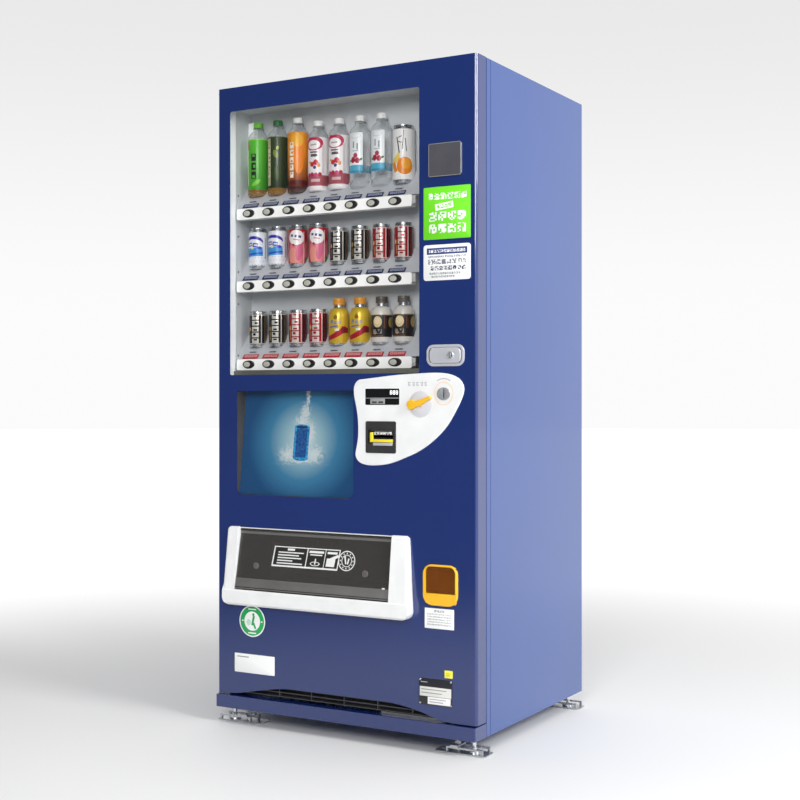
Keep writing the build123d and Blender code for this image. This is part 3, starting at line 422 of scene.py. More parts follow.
FINISHES = {
    "cabinet_shell": side_blue_painted_light, "door_panel": door_blue, "base_skirt": door_blue,
    "insulated_liner": liner_white, "inner_door": liner_white, "leveling_feet": chrome,
    "foot_plates": zinc, "door_hinges": zinc, "product_racks": galvanised, "product_chute": galvanised,
    "compressor": black_enamel, "condenser_coil": fin_metal, "evaporator_coil": fin_metal,
    "fan_motors": black_enamel, "condenser_fan": slat_black, "evaporator_fan": slat_black,
    "door_grille": slat_grey, "display_box": display_grey, "display_window": clear_acrylic,
    "display_shelves": shelf_grey, "button_strips": strip_white, "coin_panel": white_abs,
    "amount_display": screen_black, "bill_validator": plastic_black, "coin_mechanism": plastic_black,
    "return_lever": yellow_abs, "card_reader": smoke_grey, "lock_housing": silver_paint,
    "lock_handle": silver_paint, "key_cylinder": chrome, "poster_panel": board_grey,
    "delivery_housing": white_abs, "delivery_flap": smoked_acrylic, "coin_return_cup": yellow_abs,
    "coin_return_flap": amber_acrylic, "sample_products": strip_white,
}


def dress_cad_nodes():
    """Gives every CAD node the finish of its real material."""
    for name, node in nodes.items():
        finish = button_black if name.startswith("button_r") else FINISHES[name]
        node.data.materials.clear()
        node.data.materials.append(finish)


# ---- Sample drinks ----

# Half outlines of the drinks: shares of the radius with millimetres up from the base, then down from the top.
# Rolled rim, neck, straight wall and domed foot of a drink can.
CAN = (
    [(0, 6), (0.62, 5), (0.8, 0), (0.84, 0.5), (0.9, 4), (0.985, 10), (1, 14)],
    [(1, 16), (0.985, 12), (0.88, 4), (0.87, 2.8), (0.9, 2.2), (0.9, 0.4), (0.87, 0), (0.84, 0.6), (0.82, 4),
     (0, 3.5)])
# Three-piece steel can: seamed rims and a straight wall with two faint beads.
COFFEE_CAN = (
    [(0, 4), (0.86, 4), (0.88, 0), (0.95, 0), (0.96, 2.5), (0.92, 4), (0.97, 8), (1, 12)],
    [(1, 14), (0.97, 9), (0.9, 4), (0.9, 3), (0.94, 2.5), (0.94, 0.3), (0.9, 0), (0.87, 4), (0, 4)])
# PET bottle: footed base, waist rings, label panel, shoulder, neck ring and cap.
BOTTLE = (
    [(0, 6), (0.5, 3), (0.78, 0), (0.94, 3), (1, 9), (1, 12), (0.95, 14.5), (1, 17), (1, 19), (0.985, 20)],
    [(0.985, 50), (1, 48), (0.97, 44), (0.8, 35), (0.58, 27), (0.46, 22), (0.44, 19.5), (0.53, 19),
     (0.53, 17), (0.43, 16.5), (0.43, 15.5), (0.46, 15), (0.46, 1.5), (0.43, 0), (0, 0)])
# Aluminium bottle can: straight wall, domed shoulder, beaded neck and screw cap.
BOTTLE_CAN = (
    [(0, 6), (0.6, 5), (0.8, 0), (0.86, 0.5), (0.96, 6), (1, 12)],
    [(1, 54), (0.985, 48), (0.92, 39), (0.82, 32), (0.7, 28.5), (0.5, 27), (0.465, 25), (0.465, 22.5),
     (0.49, 21.5), (0.465, 20.5), (0.465, 19), (0.55, 18), (0.565, 17.5), (0.565, 10), (0.54, 9), (0.565, 8),
     (0.565, 1.5), (0.54, 0), (0, 0)])


def make_drink(name, profile, size, place, cut, materials, bands):
    """One sample drink: turned, wrapped with its print, and trimmed to the shelf behind it."""
    radius, height = size
    x, y, base = place
    bm = bmesh.new()
    foot, top = profile
    lathe(bm, [(share * radius, up * MM) for share, up in foot]
          + [(share * radius, height - down * MM) for share, down in top], place, steps=56)
    for face in bm.faces:
        level = face.calc_center_median().z - base
        face.material_index = next((i for low, high, i in bands if low <= level <= high), 0)
    for point, normal in cut:
        geometry = bm.verts[:] + bm.edges[:] + bm.faces[:]
        made = bmesh.ops.bisect_plane(bm, geom=geometry, plane_co=point, plane_no=normal, clear_outer=True)
        rim = [item for item in made["geom_cut"] if isinstance(item, bmesh.types.BMEdge)]
        bmesh.ops.holes_fill(bm, edges=rim)
    wrap_print(bm, x, y, base, radius)
    return keep(name, bm, materials)


def upright_marks(x, low, count, pitch, half_x, ink, ground):
    """A column of bold upright marks, each a block with a notch, that stands for a printed word."""
    notches = ((0.0, 0.18, 0.5, 0.12), (0.3, 0.0, 0.45, 0.16), (0.0, -0.15, 0.55, 0.14),
               (-0.25, 0.1, 0.4, 0.2))
    column = []
    for k in range(count):
        z = low + pitch * (count - 1 - k)
        along, up, wide, tall = notches[k % 4]
        column += [block(x, z, half_x, pitch * 0.40, ink),
                   block(x + half_x * along, z + pitch * up, half_x * wide, pitch * tall, ground)]
    return column


def coffee_print(name, ground, ink, panel, emblem):
    """Small coffee can: a bold upright mark, a fine line, a side panel and an oval emblem."""
    return printed(name, ground, [block(41, 52, 7, 43, panel)]
                   + upright_marks(6.8, 18, 5, 17.2, 10.5, ink, ground)
                   + [block(25.5, 52, 1.6, 40, ink), block(31, 52, 2.2, 41, "#0E0B0A"),
                      oval(-13, 52, 4.5, 6.2, emblem),
                      block(-9, 30, 0.8, 12, emblem),
                      block(0, 93.5, 200, 1.1, ink), block(0, 10.5, 200, 1.1, ink)],
                   roughness=0.22, Metallic=0.25)


def drink_kinds():
    """Each kind of sample: profile, size, materials, and which heights take which material."""
    can_end = plated("drawn_can_end", "#C9CCCF", "#B9BDC1", 0.2, 0.35, 5.0)      # bare rims and lids
    tea = clear_sheet("pet_bottle_amber", "#A8772A", 0.62, 0.95, 0.06)
    roast = clear_sheet("pet_bottle_brown", "#5A2A18", 0.6, 0.95, 0.06)
    water = clear_sheet("pet_bottle_clear", "#CDD6D8", 0.12, 0.85, 0.05)
    pet_cap = {ink: moulded(f"ribbed_cap_{word}", ink, other, 0.4, 1.0, 0.03)
               for ink, other, word in (("#6CC22A", "#62B424", "green"), ("#22702E", "#1D6428", "dark_green"),
                                        ("#F6F6F4", "#E8E8E6", "white"), ("#E39A1E", "#C97F12", "amber"),
                                        ("#221A16", "#6E665C", "black"))}
    leaf = printed("film_label_leaf_green", "#3E9A1C", [
        block(-20, 85, 3.5, 52, "#CDEBA6"), oval(-20, 150, 4.5, 7, "#D23A2E"),
        block(-10, 130, 1.2, 20, "#1D4F12"), oval(12, 40, 16, 6, "#7FD03A", 35)]
        + upright_marks(4, 62, 3, 26, 8, "#12240C", "#55BA26")
        + [block(0, 166, 200, 1.5, "#A6E05A")], fade=(0.02, 0.16, "#5CC42A"))
    olive = printed("film_label_olive", "#25330E", [
        block(-14, 95, 8.5, 68, "#B9B48A"), oval(11, 118, 7, 12, "#7E8E22", 20),
        oval(17, 135, 4, 6, "#A6B438", -20), oval(14, 60, 7, 20, "#3D5218", 8)]
        + upright_marks(-12, 60, 4, 24, 6, "#E6DDB8", "#6A6A40")
        + [block(0, 167, 200, 1.5, "#5C6A2C")], fade=(0.02, 0.16, "#34421A"))
    orange = printed("film_label_orange", "#7A1E0C", [
        oval(20, 105, 16, 50, "#F58A1A"), oval(16, 150, 20, 18, "#F8B428")]
        + upright_marks(-2, 52, 5, 21, 6.5, "#FFF6E6", "#EE7E1C")
        + [block(0, 30, 200, 6, "#55140A")], fade=(0.025, 0.12, "#F39A1E"))
    berry = printed("film_label_berry", "#F6F1F1", [
        block(0, 30, 200, 15, "#A9525C"), oval(2, 135, 30, 20, "#C01D4C"),
        oval(2, 131, 21, 13, "#F8F4F2"), block(2, 131, 10, 2, "#B7A8A8", 4),
        block(3, 110, 12, 2.4, "#6A6068"), block(4, 101, 11, 4, "#5A4E58"),
        oval(-2, 76, 7, 7, "#D02A2A"), oval(10, 81, 8, 8, "#C21F3A"),
        oval(18, 73, 5, 6, "#E88A1E"), oval(6, 67, 5, 5, "#2F4E86"),
        oval(-10, 82, 4, 3, "#E8A62A"), oval(-14, 46, 6, 6, "#C21870"),
        oval(-2, 47, 6, 6, "#B81E3C"), oval(10, 46, 6, 6, "#D23A7C"),
        oval(22, 47, 6, 6, "#B81E3C"), block(8, 30, 14, 4, "#D9B8BC"),
        block(32, 90, 4, 40, "#D8D2D4")])
    spring = printed("film_label_spring", "#F4F7F8", [
        block(0, 51, 200, 10.5, "#58B2D2"), block(0, 43, 200, 3, "#2F93BC"),
        oval(-6, 76, 7.5, 8.5, "#A8203A"), oval(8, 74, 7.5, 8, "#B8304A"),
        oval(2, 88, 6.5, 7, "#C2405A"), oval(18, 77, 5, 3, "#2F7A34", 30),
        oval(-16, 74, 4, 3, "#2F7A34", -30), oval(2, 143, 16, 8, "#D5DEE0"),
        oval(2, 143, 14, 6, "#F4F7F8"), block(-4, 118, 2.2, 9, "#8E9CA0"),
        block(8, 113, 2.2, 9, "#8E9CA0"), block(2, 101, 10, 1.4, "#B8C4C8")],
        window=block(0, 96, 24, 56, None)[:4])
    zest = printed("printed_can_zest", "#F4F3F0", [
        oval(19, 47, 23.5, 23.5, "#F08A12"), oval(23.5, 53, 14, 14, "#F6A628"),
        block(-10, 70, 20, 2.2, "#F2D21E", 42), block(-10, 63, 20, 2.2, "#F2D21E", 42),
        block(-10, 56, 20, 2.2, "#F2C01E", 42), block(-12, 44, 6, 14, "#EE8A1C", 20),
        block(14, 118, 1.4, 26, "#4A4A50", -4), block(22, 104, 1.2, 18, "#5A5A60", 6),
        block(0, 104, 1.6, 22, "#3A3A40", 10), block(5, 126, 6, 1.2, "#4A4A50", 24),
        block(5, 112, 5, 1.2, "#4A4A50", -18)])
    dots = [oval(9.5 * column + (4 if row % 2 else -1), 12 + 10.5 * row, 1.2, 1.2, "#8EA6D8")
            for row in (0, 1, 2, 9, 10) for column in range(-2, 5)]
    milk = printed("printed_can_dotted", "#F3F4F8", dots + [
        oval(0, 79, 32, 16.5, "#2A22A8"), oval(0, 71, 32, 15.5, "#F3F4F8"),
        block(0, 49, 31, 12.5, "#3A9CE0", 3), block(0, 44, 31, 2.4, "#2248C0", 5),
        block(-10, 71, 8, 5.5, "#2E3AC4", 8), block(8, 69, 8, 6, "#2E3AC4", -6),
        block(-9, 71, 5, 2.2, "#F7F2D8", 8), block(9, 69, 5, 2.2, "#F7F2D8", -6),
        oval(20, 61, 7, 4.5, "#2E3AC4"), oval(-2, 60, 5, 3, "#F2E27A"),
        block(40.5, 60, 1.2, 30, "#5A78D0")])
    peach = printed("printed_can_peach", "#B8101C", [
        oval(12, 38, 26, 40, "#E77E86"), oval(4, 28, 16, 26, "#EE9A8A", 12),
        oval(20, 42, 10, 26, "#D65E86", -8), oval(47, 45, 10, 27, "#D9606A"),
        oval(47, 16, 8, 12, "#2F6E30", 20), block(34.5, 55, 1.2, 45, "#F4D8D6"),
        oval(11, 83, 24.5, 21.5, "#F6F2F2"), block(10, 87, 16, 3.4, "#4A4A8A", -8),
        block(4, 87, 2.2, 5, "#F6F2F2", -8), block(15, 86, 2.2, 5, "#F6F2F2", -8),
        block(11, 77, 10, 1.5, "#D88A92", -8), oval(3, 62, 5, 3, "#A8121C", -30)])
    black_coffee = coffee_print("printed_can_black_roast", "#1B1817", "#D9D4CC", "#6E5236", "#C99A4C")
    red_coffee = coffee_print("printed_can_red_roast", "#A50F1C", "#E6D6D0", "#5E1216", "#DDB25A")
    gold_can = printed("printed_can_gold", "#D9B21E", [
        oval(4, 33, 40, 12.5, "#B8142A", 24), oval(-4, 40, 30, 8, "#DDB824", 24),
        block(34, 41, 12, 7.5, "#8E1020", 4), block(10, 43, 6.5, 3, "#E8F0EE", 2),
        oval(6, 78, 6, 6, "#9A6A1C"), block(6, 81, 1, 7, "#9A6A1C", 14),
        block(-6, 66, 4.5, 4.5, "#8C8CA8"), block(6, 63, 4.5, 4.5, "#9A9AB0"),
        block(18, 64, 4.5, 4.5, "#A8A2A8"), block(0, 52, 14, 2.2, "#7A78A0", 8)],
        fade=(0.0, 0.09, "#E2C032"), roughness=0.28, Metallic=0.3)
    cafe = printed("printed_can_cafe", "#DAD5CE", [
        block(0, 50.5, 200, 31, "#17110F"), block(0, 80.5, 200, 0.8, "#B9A06A"),
        oval(3, 61.5, 13, 15.5, "#E2C694"), oval(1, 64.5, 8.5, 10, "#EFDDB6"),
        oval(47, 60, 11, 15, "#A88C3C"), block(23.5, 60, 1.6, 17, "#6E3A26"),
        block(28, 56, 1, 14, "#5A3020"), block(2, 34.5, 14, 6.2, "#8E867E"),
        block(3, 36, 3, 6.2, "#17110F", 30), block(10, 34.5, 2.2, 6.2, "#17110F", -24),
        oval(-4, 29, 2.8, 2.2, "#E0A62C"), block(0, 22.5, 20, 1.5, "#7A4A2A")])
    kinds = {}
    for word, film, drink, cap, height, label in (
            ("leaf", leaf, tea, "#6CC22A", 0.218, (0.0205, 0.1675)),
            ("olive", olive, tea, "#22702E", 0.218, (0.0265, 0.1685)),
            ("orange", orange, roast, "#F6F6F4", 0.218, (0.0295, 0.176)),
            ("berry", berry, water, "#F6F6F4", 0.202, (0.0, 0.1525)),
            ("spring", spring, water, "#F6F6F4", 0.202, (0.040, 0.1515))):
        cap_foot = height - 0.0152
        kinds[word] = (BOTTLE, (0.0305, height), [water if label[0] == 0 else drink, film, pet_cap[cap],
                                                  water],
                       [(label[0], label[1], 1), (cap_foot, 1, 2), (label[1], cap_foot, 3)])
    for word, ink, size, profile in (("zest", zest, (0.031, 0.160), CAN),
                                     ("milk", milk, (0.028, 0.119), CAN),
                                     ("peach", peach, (0.028, 0.119), CAN),
                                     ("black", black_coffee, (0.026, 0.1045), COFFEE_CAN),
                                     ("red", red_coffee, (0.026, 0.1045), COFFEE_CAN)):
        kinds[word] = (profile, size, [can_end, ink], [(0.007, size[1] - 0.0095, 1)])
    for word, ink, cap in (("gold", gold_can, "#E39A1E"), ("cafe", cafe, "#221A16")):
        kinds[word] = (BOTTLE_CAN, (0.030, 0.132), [can_end, ink, pet_cap[cap]],
                       [(0.004, 0.1045, 1), (0.1142, 1, 2)])
    return kinds


DRINK_ROWS = [
    ["leaf", "olive", "orange", "berry", "berry", "spring", "spring", "zest"],
    ["milk", "milk", "peach", "peach", "black", "black", "red", "red"],
    ["black", "black", "red", "red", "gold", "gold", "cafe", "cafe"],
]
SAMPLE_LIFT = 36 * MM          # drink's base above its button strip
SHELF_RISE = 72 * MM
SHELF_RUN = 61 * MM
SAMPLE_DEPTH = 85 * MM         # drink's axis behind the door face


def row_top(row):
    """Top of a row's button strip, from its buttons."""
    low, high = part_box(f"button_r{row + 1}_c1")
    return (low.z + high.z) / 2 + 15 * MM


def column_x(column):
    low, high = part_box(f"button_r1_c{column + 1}")
    return (low.x + high.x) / 2


def make_drinks():
    kinds = drink_kinds()
    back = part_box("display_box")[1].y - 2.5 * MM
    foot = FACE + 43.4 * MM
    slope = Vector((0, SHELF_RISE, -SHELF_RUN)).normalized()
    for row in range(ROWS):
        top = row_top(row)
        for column in range(COLUMNS):
            profile, size, materials, bands = kinds[DRINK_ROWS[row][column]]
            place = Vector((column_x(column), FACE + SAMPLE_DEPTH, top + SAMPLE_LIFT))
            cut = [((0, foot, top), slope), ((0, back, 0), Vector((0, 1, 0)))]
            make_drink(f"sample_r{row + 1}_c{column + 1}", profile, size, place, cut,
                                     materials, bands)
    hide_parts("sample_products")


# ---- Display trim ----

def make_price_cards():
    """Price cards on each shelf's slope, and a small volume label over each."""
    figures = [(-16.5, 5.2), (-4.5, 4.6), (7.5, 5.2), (18.5, 4.2)]
    cool, hot = (printed(name, ground, [block(x, 1.5, half, 4.2, ink) for x, half in figures]
                         + [block(x, 1.5, half * 0.5, 1.6, ground) for x, half in figures])
                 for name, ground, ink in (("printed_card_navy", "#11184E", "#A9AFC8"),
                                           ("printed_card_red", "#BC1420", "#E6A6A8")))
    volume = printed("printed_volume_label", "#7A7B80", [
        block(-5, 0, 3, 1, "#2E2F34"), block(5, 0, 4, 1.2, "#2E2F34")])
    lean = math.atan2(SHELF_RISE, SHELF_RUN)
    for row in range(ROWS):
        foot = Vector((0, FACE + 43.0 * MM, row_top(row)))
        for column in range(COLUMNS):
            x = column_x(column)
            bm = bmesh.new()
            plate(bm, rounded_outline(x - 27 * MM, x + 27 * MM, 1 * MM, 17.5 * MM, 0.6 * MM, 2), 0, 0.5 * MM,
                  index=0)
            plate(bm, rounded_outline(x - 12 * MM, x + 12 * MM, 24.5 * MM, 28.5 * MM, 0.4 * MM, 2), 0.1 * MM,
                  0.4 * MM, index=1)
            layer = bm.loops.layers.uv.new("print")
            for face in bm.faces:
                height = 9.2 * MM if face.material_index == 0 else 26.5 * MM
                for loop in face.loops:
                    loop[layer].uv = (loop.vert.co.x - x, loop.vert.co.z - height)
            tilt = Matrix.Translation(foot) @ Matrix.Rotation(lean - math.pi / 2, 4, "X")
            bmesh.ops.translate(bm, verts=bm.verts[:], vec=(0, -2.2 * MM, 0))
            bmesh.ops.transform(bm, matrix=tilt, verts=bm.verts[:])
            keep(f"price_card_r{row + 1}_c{column + 1}", bm, [hot if row == 2 else cool, volume])


def make_button_trim():
    """Dark bezel ring round each button's well, and the round lamp lens on each button."""
    for row in range(ROWS):
        bm = bmesh.new()
        for column in range(COLUMNS):
            low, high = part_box(f"button_r{row + 1}_c{column + 1}")
            x, z = (low.x + high.x) / 2, (low.z + high.z) / 2
            half_x, half_z = (high.x - low.x) / 2, (high.z - low.z) / 2
            strip_face = low.y + 2.5 * MM
            frame_ring(bm, oval_outline(x, z, half_x + 2.4 * MM, half_z + 2.4 * MM),
                       oval_outline(x, z, half_x + 0.45 * MM, half_z + 0.45 * MM),
                       strip_face - 1.2 * MM, 1.4 * MM, 0.35 * MM)
            lens = bmesh.new()
            plate(lens, oval_outline(x - 4.6 * MM, z, 11.2 * MM, 7.9 * MM), low.y - 0.9 * MM, 1.0 * MM,
                  0.5 * MM)
            lens_piece = keep(f"button_lens_r{row + 1}_c{column + 1}", lens, lens_grey,
                              f"button_r{row + 1}_c{column + 1}")
        keep(f"button_bezels_r{row + 1}", bm, button_black)


def make_display_trim():
    """Lamp in the box's upper left corner, pane clips, screw heads and the rail under the lowest strip."""
    low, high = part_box("display_box")
    inner_left, inner_right = low.x + 8 * MM, high.x - 14 * MM
    back = high.y - 2 * MM
    bm = bmesh.new()
    brick(bm, (inner_left, back - 20 * MM, 1614 * MM), (inner_left + 21 * MM, back, 1746 * MM), 3 * MM, 4)
    keep("display_lamp", bm, lamp_white)
    bm = bmesh.new()
    for row in range(ROWS):
        top = row_top(row)
        strip_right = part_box("button_strips")[1].x
        brick(bm, (strip_right + 2 * MM, FACE + 34 * MM, top - 26 * MM),
              (strip_right + 13 * MM, FACE + 40 * MM, top - 4 * MM), 0.6 * MM)
        brick(bm, (strip_right + 5 * MM, FACE + 31 * MM, top - 20 * MM),
              (strip_right + 10 * MM, FACE + 34.2 * MM, top - 13 * MM), 0.6 * MM)
    keep("pane_clips", bm, clip_grey)
    bm = bmesh.new()
    for z in (1526 * MM, 1407 * MM, 1304 * MM, 1210 * MM, 1060 * MM):
        lathe(bm, [(0, 0), (2.6 * MM, 0), (2.4 * MM, 1.2 * MM), (1.4 * MM, 1.6 * MM), (0, 1.6 * MM)],
              (inner_left, FACE + 50 * MM, z), axis="X", steps=20)
    keep("display_screws", bm, rail_olive)
    rail = bmesh.new()
    brick(rail, (inner_left, FACE + 30 * MM, low.z + 2 * MM),
          (inner_right, FACE + 40 * MM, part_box("button_strips")[0].z - 1 * MM), 1 * MM)
    keep("window_lower_rail", rail, rail_olive)


# ---- Coin panel trim ----

def make_coin_panel_trim():
    low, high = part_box("coin_panel")
    face = low.y
    lever_x, lever_z = RIGHT - 165 * MM, 919 * MM
    slot_x, slot_z = RIGHT - 95.5 * MM, 947.5 * MM
    bm = bmesh.new()
    lathe(bm, [(7 * MM, 0), (35 * MM, 0), (35 * MM, 0.6 * MM), (33 * MM, 1.6 * MM), (12 * MM, 0.9 * MM),
               (7 * MM, 1.2 * MM)], (lever_x, face + 0.1 * MM, lever_z), axis="Y", steps=64)
    keep("lever_dial", bm, moulded("moulded_abs_pale_grey", "#D5D6DA", "#CBCCD1", 0.3))
    bm = bmesh.new()
    frame_ring(bm, oval_outline(slot_x, slot_z - 1 * MM, 20 * MM, 17 * MM, 48),
               oval_outline(slot_x, slot_z, 2.6 * MM, 13.8 * MM, 48),
               face - 2.6 * MM, 2.8 * MM, 1.2 * MM)
    keep("coin_slot_bezel", bm, moulded("polished_nickel_guide", "#F0F1F3", "#B4B6BB", 0.15, 4.0, 0.05,
                                        Metallic=0.55))
    bm = bmesh.new()
    frame_ring(bm, oval_outline(slot_x, slot_z, 29 * MM, 31 * MM, 64),
               oval_outline(slot_x, slot_z, 26.5 * MM, 28.5 * MM, 64),
               face - 0.35 * MM, 0.5 * MM)
    keep("coin_slot_printed_ring", bm, moulded("printed_pale_orange", "#F4D9BC", "#F0D2B2", 0.4))
    note_x0, note_x1 = RIGHT - 321 * MM, RIGHT - 250 * MM
    bm = bmesh.new()
    brick(bm, (note_x0 + 8 * MM, face - 1.6 * MM, 816.5 * MM), (note_x1, face + 6 * MM, 824.5 * MM), 0.8 * MM)
    brick(bm, (note_x0, face - 1.6 * MM, 816.5 * MM), (note_x0 + 9 * MM, face + 4 * MM, 843 * MM), 0.8 * MM)
    keep("note_slot_lip", bm, moulded("moulded_abs_signal_yellow", "#F7E03A", "#EFD62E", 0.35))
    bm = bmesh.new()
    brick(bm, (note_x0 + 9 * MM, face - 1.2 * MM, 807 * MM), (note_x1, face + 3 * MM, 815.5 * MM), 1.2 * MM)
    brick(bm, (note_x0 - 2 * MM, face - 0.6 * MM, 795 * MM), (note_x1 + 2 * MM, face + 2 * MM, 798 * MM),
          0.8 * MM)
    keep("note_slot_tongue", bm, silver_paint)
    bm = bmesh.new()
    for z in (848 * MM, 853.5 * MM):
        brick(bm, (note_x0 + 1 * MM, face + 0.6 * MM, z), (note_x1, face + 5 * MM, z + 2.2 * MM), 0.6 * MM)
    keep("note_slot_slats", bm, smoke_grey)
    bm = bmesh.new()
    plate(bm, rounded_outline(note_x0 + 11 * MM, note_x1 - 2 * MM, 835.5 * MM, 845.5 * MM, 0.5 * MM, 2),
          face + 1.5 * MM, 0.5 * MM)
    flat_print(bm, (note_x0 + note_x1) / 2 + 4.5 * MM, 840.5 * MM)
    keep("note_slot_label", bm, printed("printed_note_label", "#1D1D1F", [marks(0, 0, 27.5, 4, "#F2F2F0")]))
    d0, d1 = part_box("amount_display")
    bm = bmesh.new()
    segment_w, segment_h = 6.0 * MM, 1.5 * MM
    for digit in range(3):
        x = d1.x - 26 * MM + digit * 9 * MM
        z = d1.z - 10.5 * MM
        for dx, dz, tall in ((0, 4.8, 0), (0, 0, 0), (0, -4.8, 0), (-2.6, 2.4, 1), (2.6, 2.4, 1),
                             (-2.6, -2.4, 1), (2.6, -2.4, 1)):
            w, h = (segment_h, segment_w * 0.66) if tall else (segment_w * 0.8, segment_h)
            cx, cz = x + dx * MM, z + dz * MM
            brick(bm, (cx - w / 2, d0.y - 0.25 * MM, cz - h / 2), (cx + w / 2, d0.y + 0.1 * MM, cz + h / 2),
                  0.1 * MM, 1)
    keep("amount_digits", bm, lamp("lit_segment_white", "#F4F8FA", 1.0))
    bm = bmesh.new()
    brick(bm, (d0.x + 2 * MM, d0.y - 0.2 * MM, d0.z + 17.5 * MM),
          (d1.x - 2 * MM, d0.y + 0.2 * MM, d0.z + 19.5 * MM), 0.2 * MM)
    brick(bm, (d0.x + 16 * MM, d0.y - 0.3 * MM, d0.z + 3 * MM),
          (d0.x + 62 * MM, d0.y + 0.2 * MM, d0.z + 17 * MM), 0.3 * MM)
    keep("amount_lamp_strip", bm, plastic_grey)
    bm = bmesh.new()
    for x in (d0.x + 29 * MM, d0.x + 49 * MM):
        brick(bm, (x - 7.5 * MM, d0.y - 0.5 * MM, d0.z + 5 * MM),
              (x + 7.5 * MM, d0.y + 0.1 * MM, d0.z + 9.5 * MM), 0.2 * MM)
    keep("amount_lamps", bm, plastic_black)
    bm = bmesh.new()
    for glyph in range(5):
        x = lever_x - 34 * MM + glyph * 12.5 * MM
        for dx, dz, w, h in ((0, 4.2, 8.5, 1.4), (0, -0.5, 7, 1.3), ((-2, 2)[glyph % 2], 0, 1.4, 10),
                             (1, -4.4, 6.5, 1.3)):
            cx, cz = x + dx * MM, 973 * MM + dz * MM
            plate(bm, [(cx + i * w / 2 * MM, cz + k * h / 2 * MM) for i,
                       k in ((1, 1), (-1, 1), (-1, -1), (1, -1))], face - 0.2 * MM, 0.3 * MM)
    for mark in range(9):
        angle = math.radians(62 + 7 * mark)
        cx, cz = slot_x + 37 * MM * math.cos(angle), slot_z + 39 * MM * math.sin(angle)
        plate(bm, rounded_outline(cx - 1.7 * MM, cx + 1.7 * MM, cz - 1.5 * MM, cz + 1.5 * MM, 0.4 * MM, 2),
              face - 0.2 * MM, 0.3 * MM)
    keep("panel_captions", bm, moulded("printed_grey_caption", "#A9ABB0", "#A2A4A9", 0.4))


# ---- Stickers and plates on the door ----

def sticker(name, x0, x1, z0, z1, radius, film, lift=0.35, ellipse=False):
    """A printed film on the door's face."""
    bm = bmesh.new()
    cx, cz = (x0 + x1) / 2, (z0 + z1) / 2
    outline = (oval_outline(cx, cz, (x1 - x0) / 2, (z1 - z0) / 2, 56) if ellipse
               else rounded_outline(x0, x1, z0, z1, radius))
    plate(bm, outline, FACE - lift * MM, (lift + 0.05) * MM, 0.08 * MM)
    flat_print(bm, cx, cz)
    keep(name, bm, film)


STICKER_SIDES = (RIGHT - 158 * MM, RIGHT - 18 * MM)     # edges of the green sticker and the notice under it


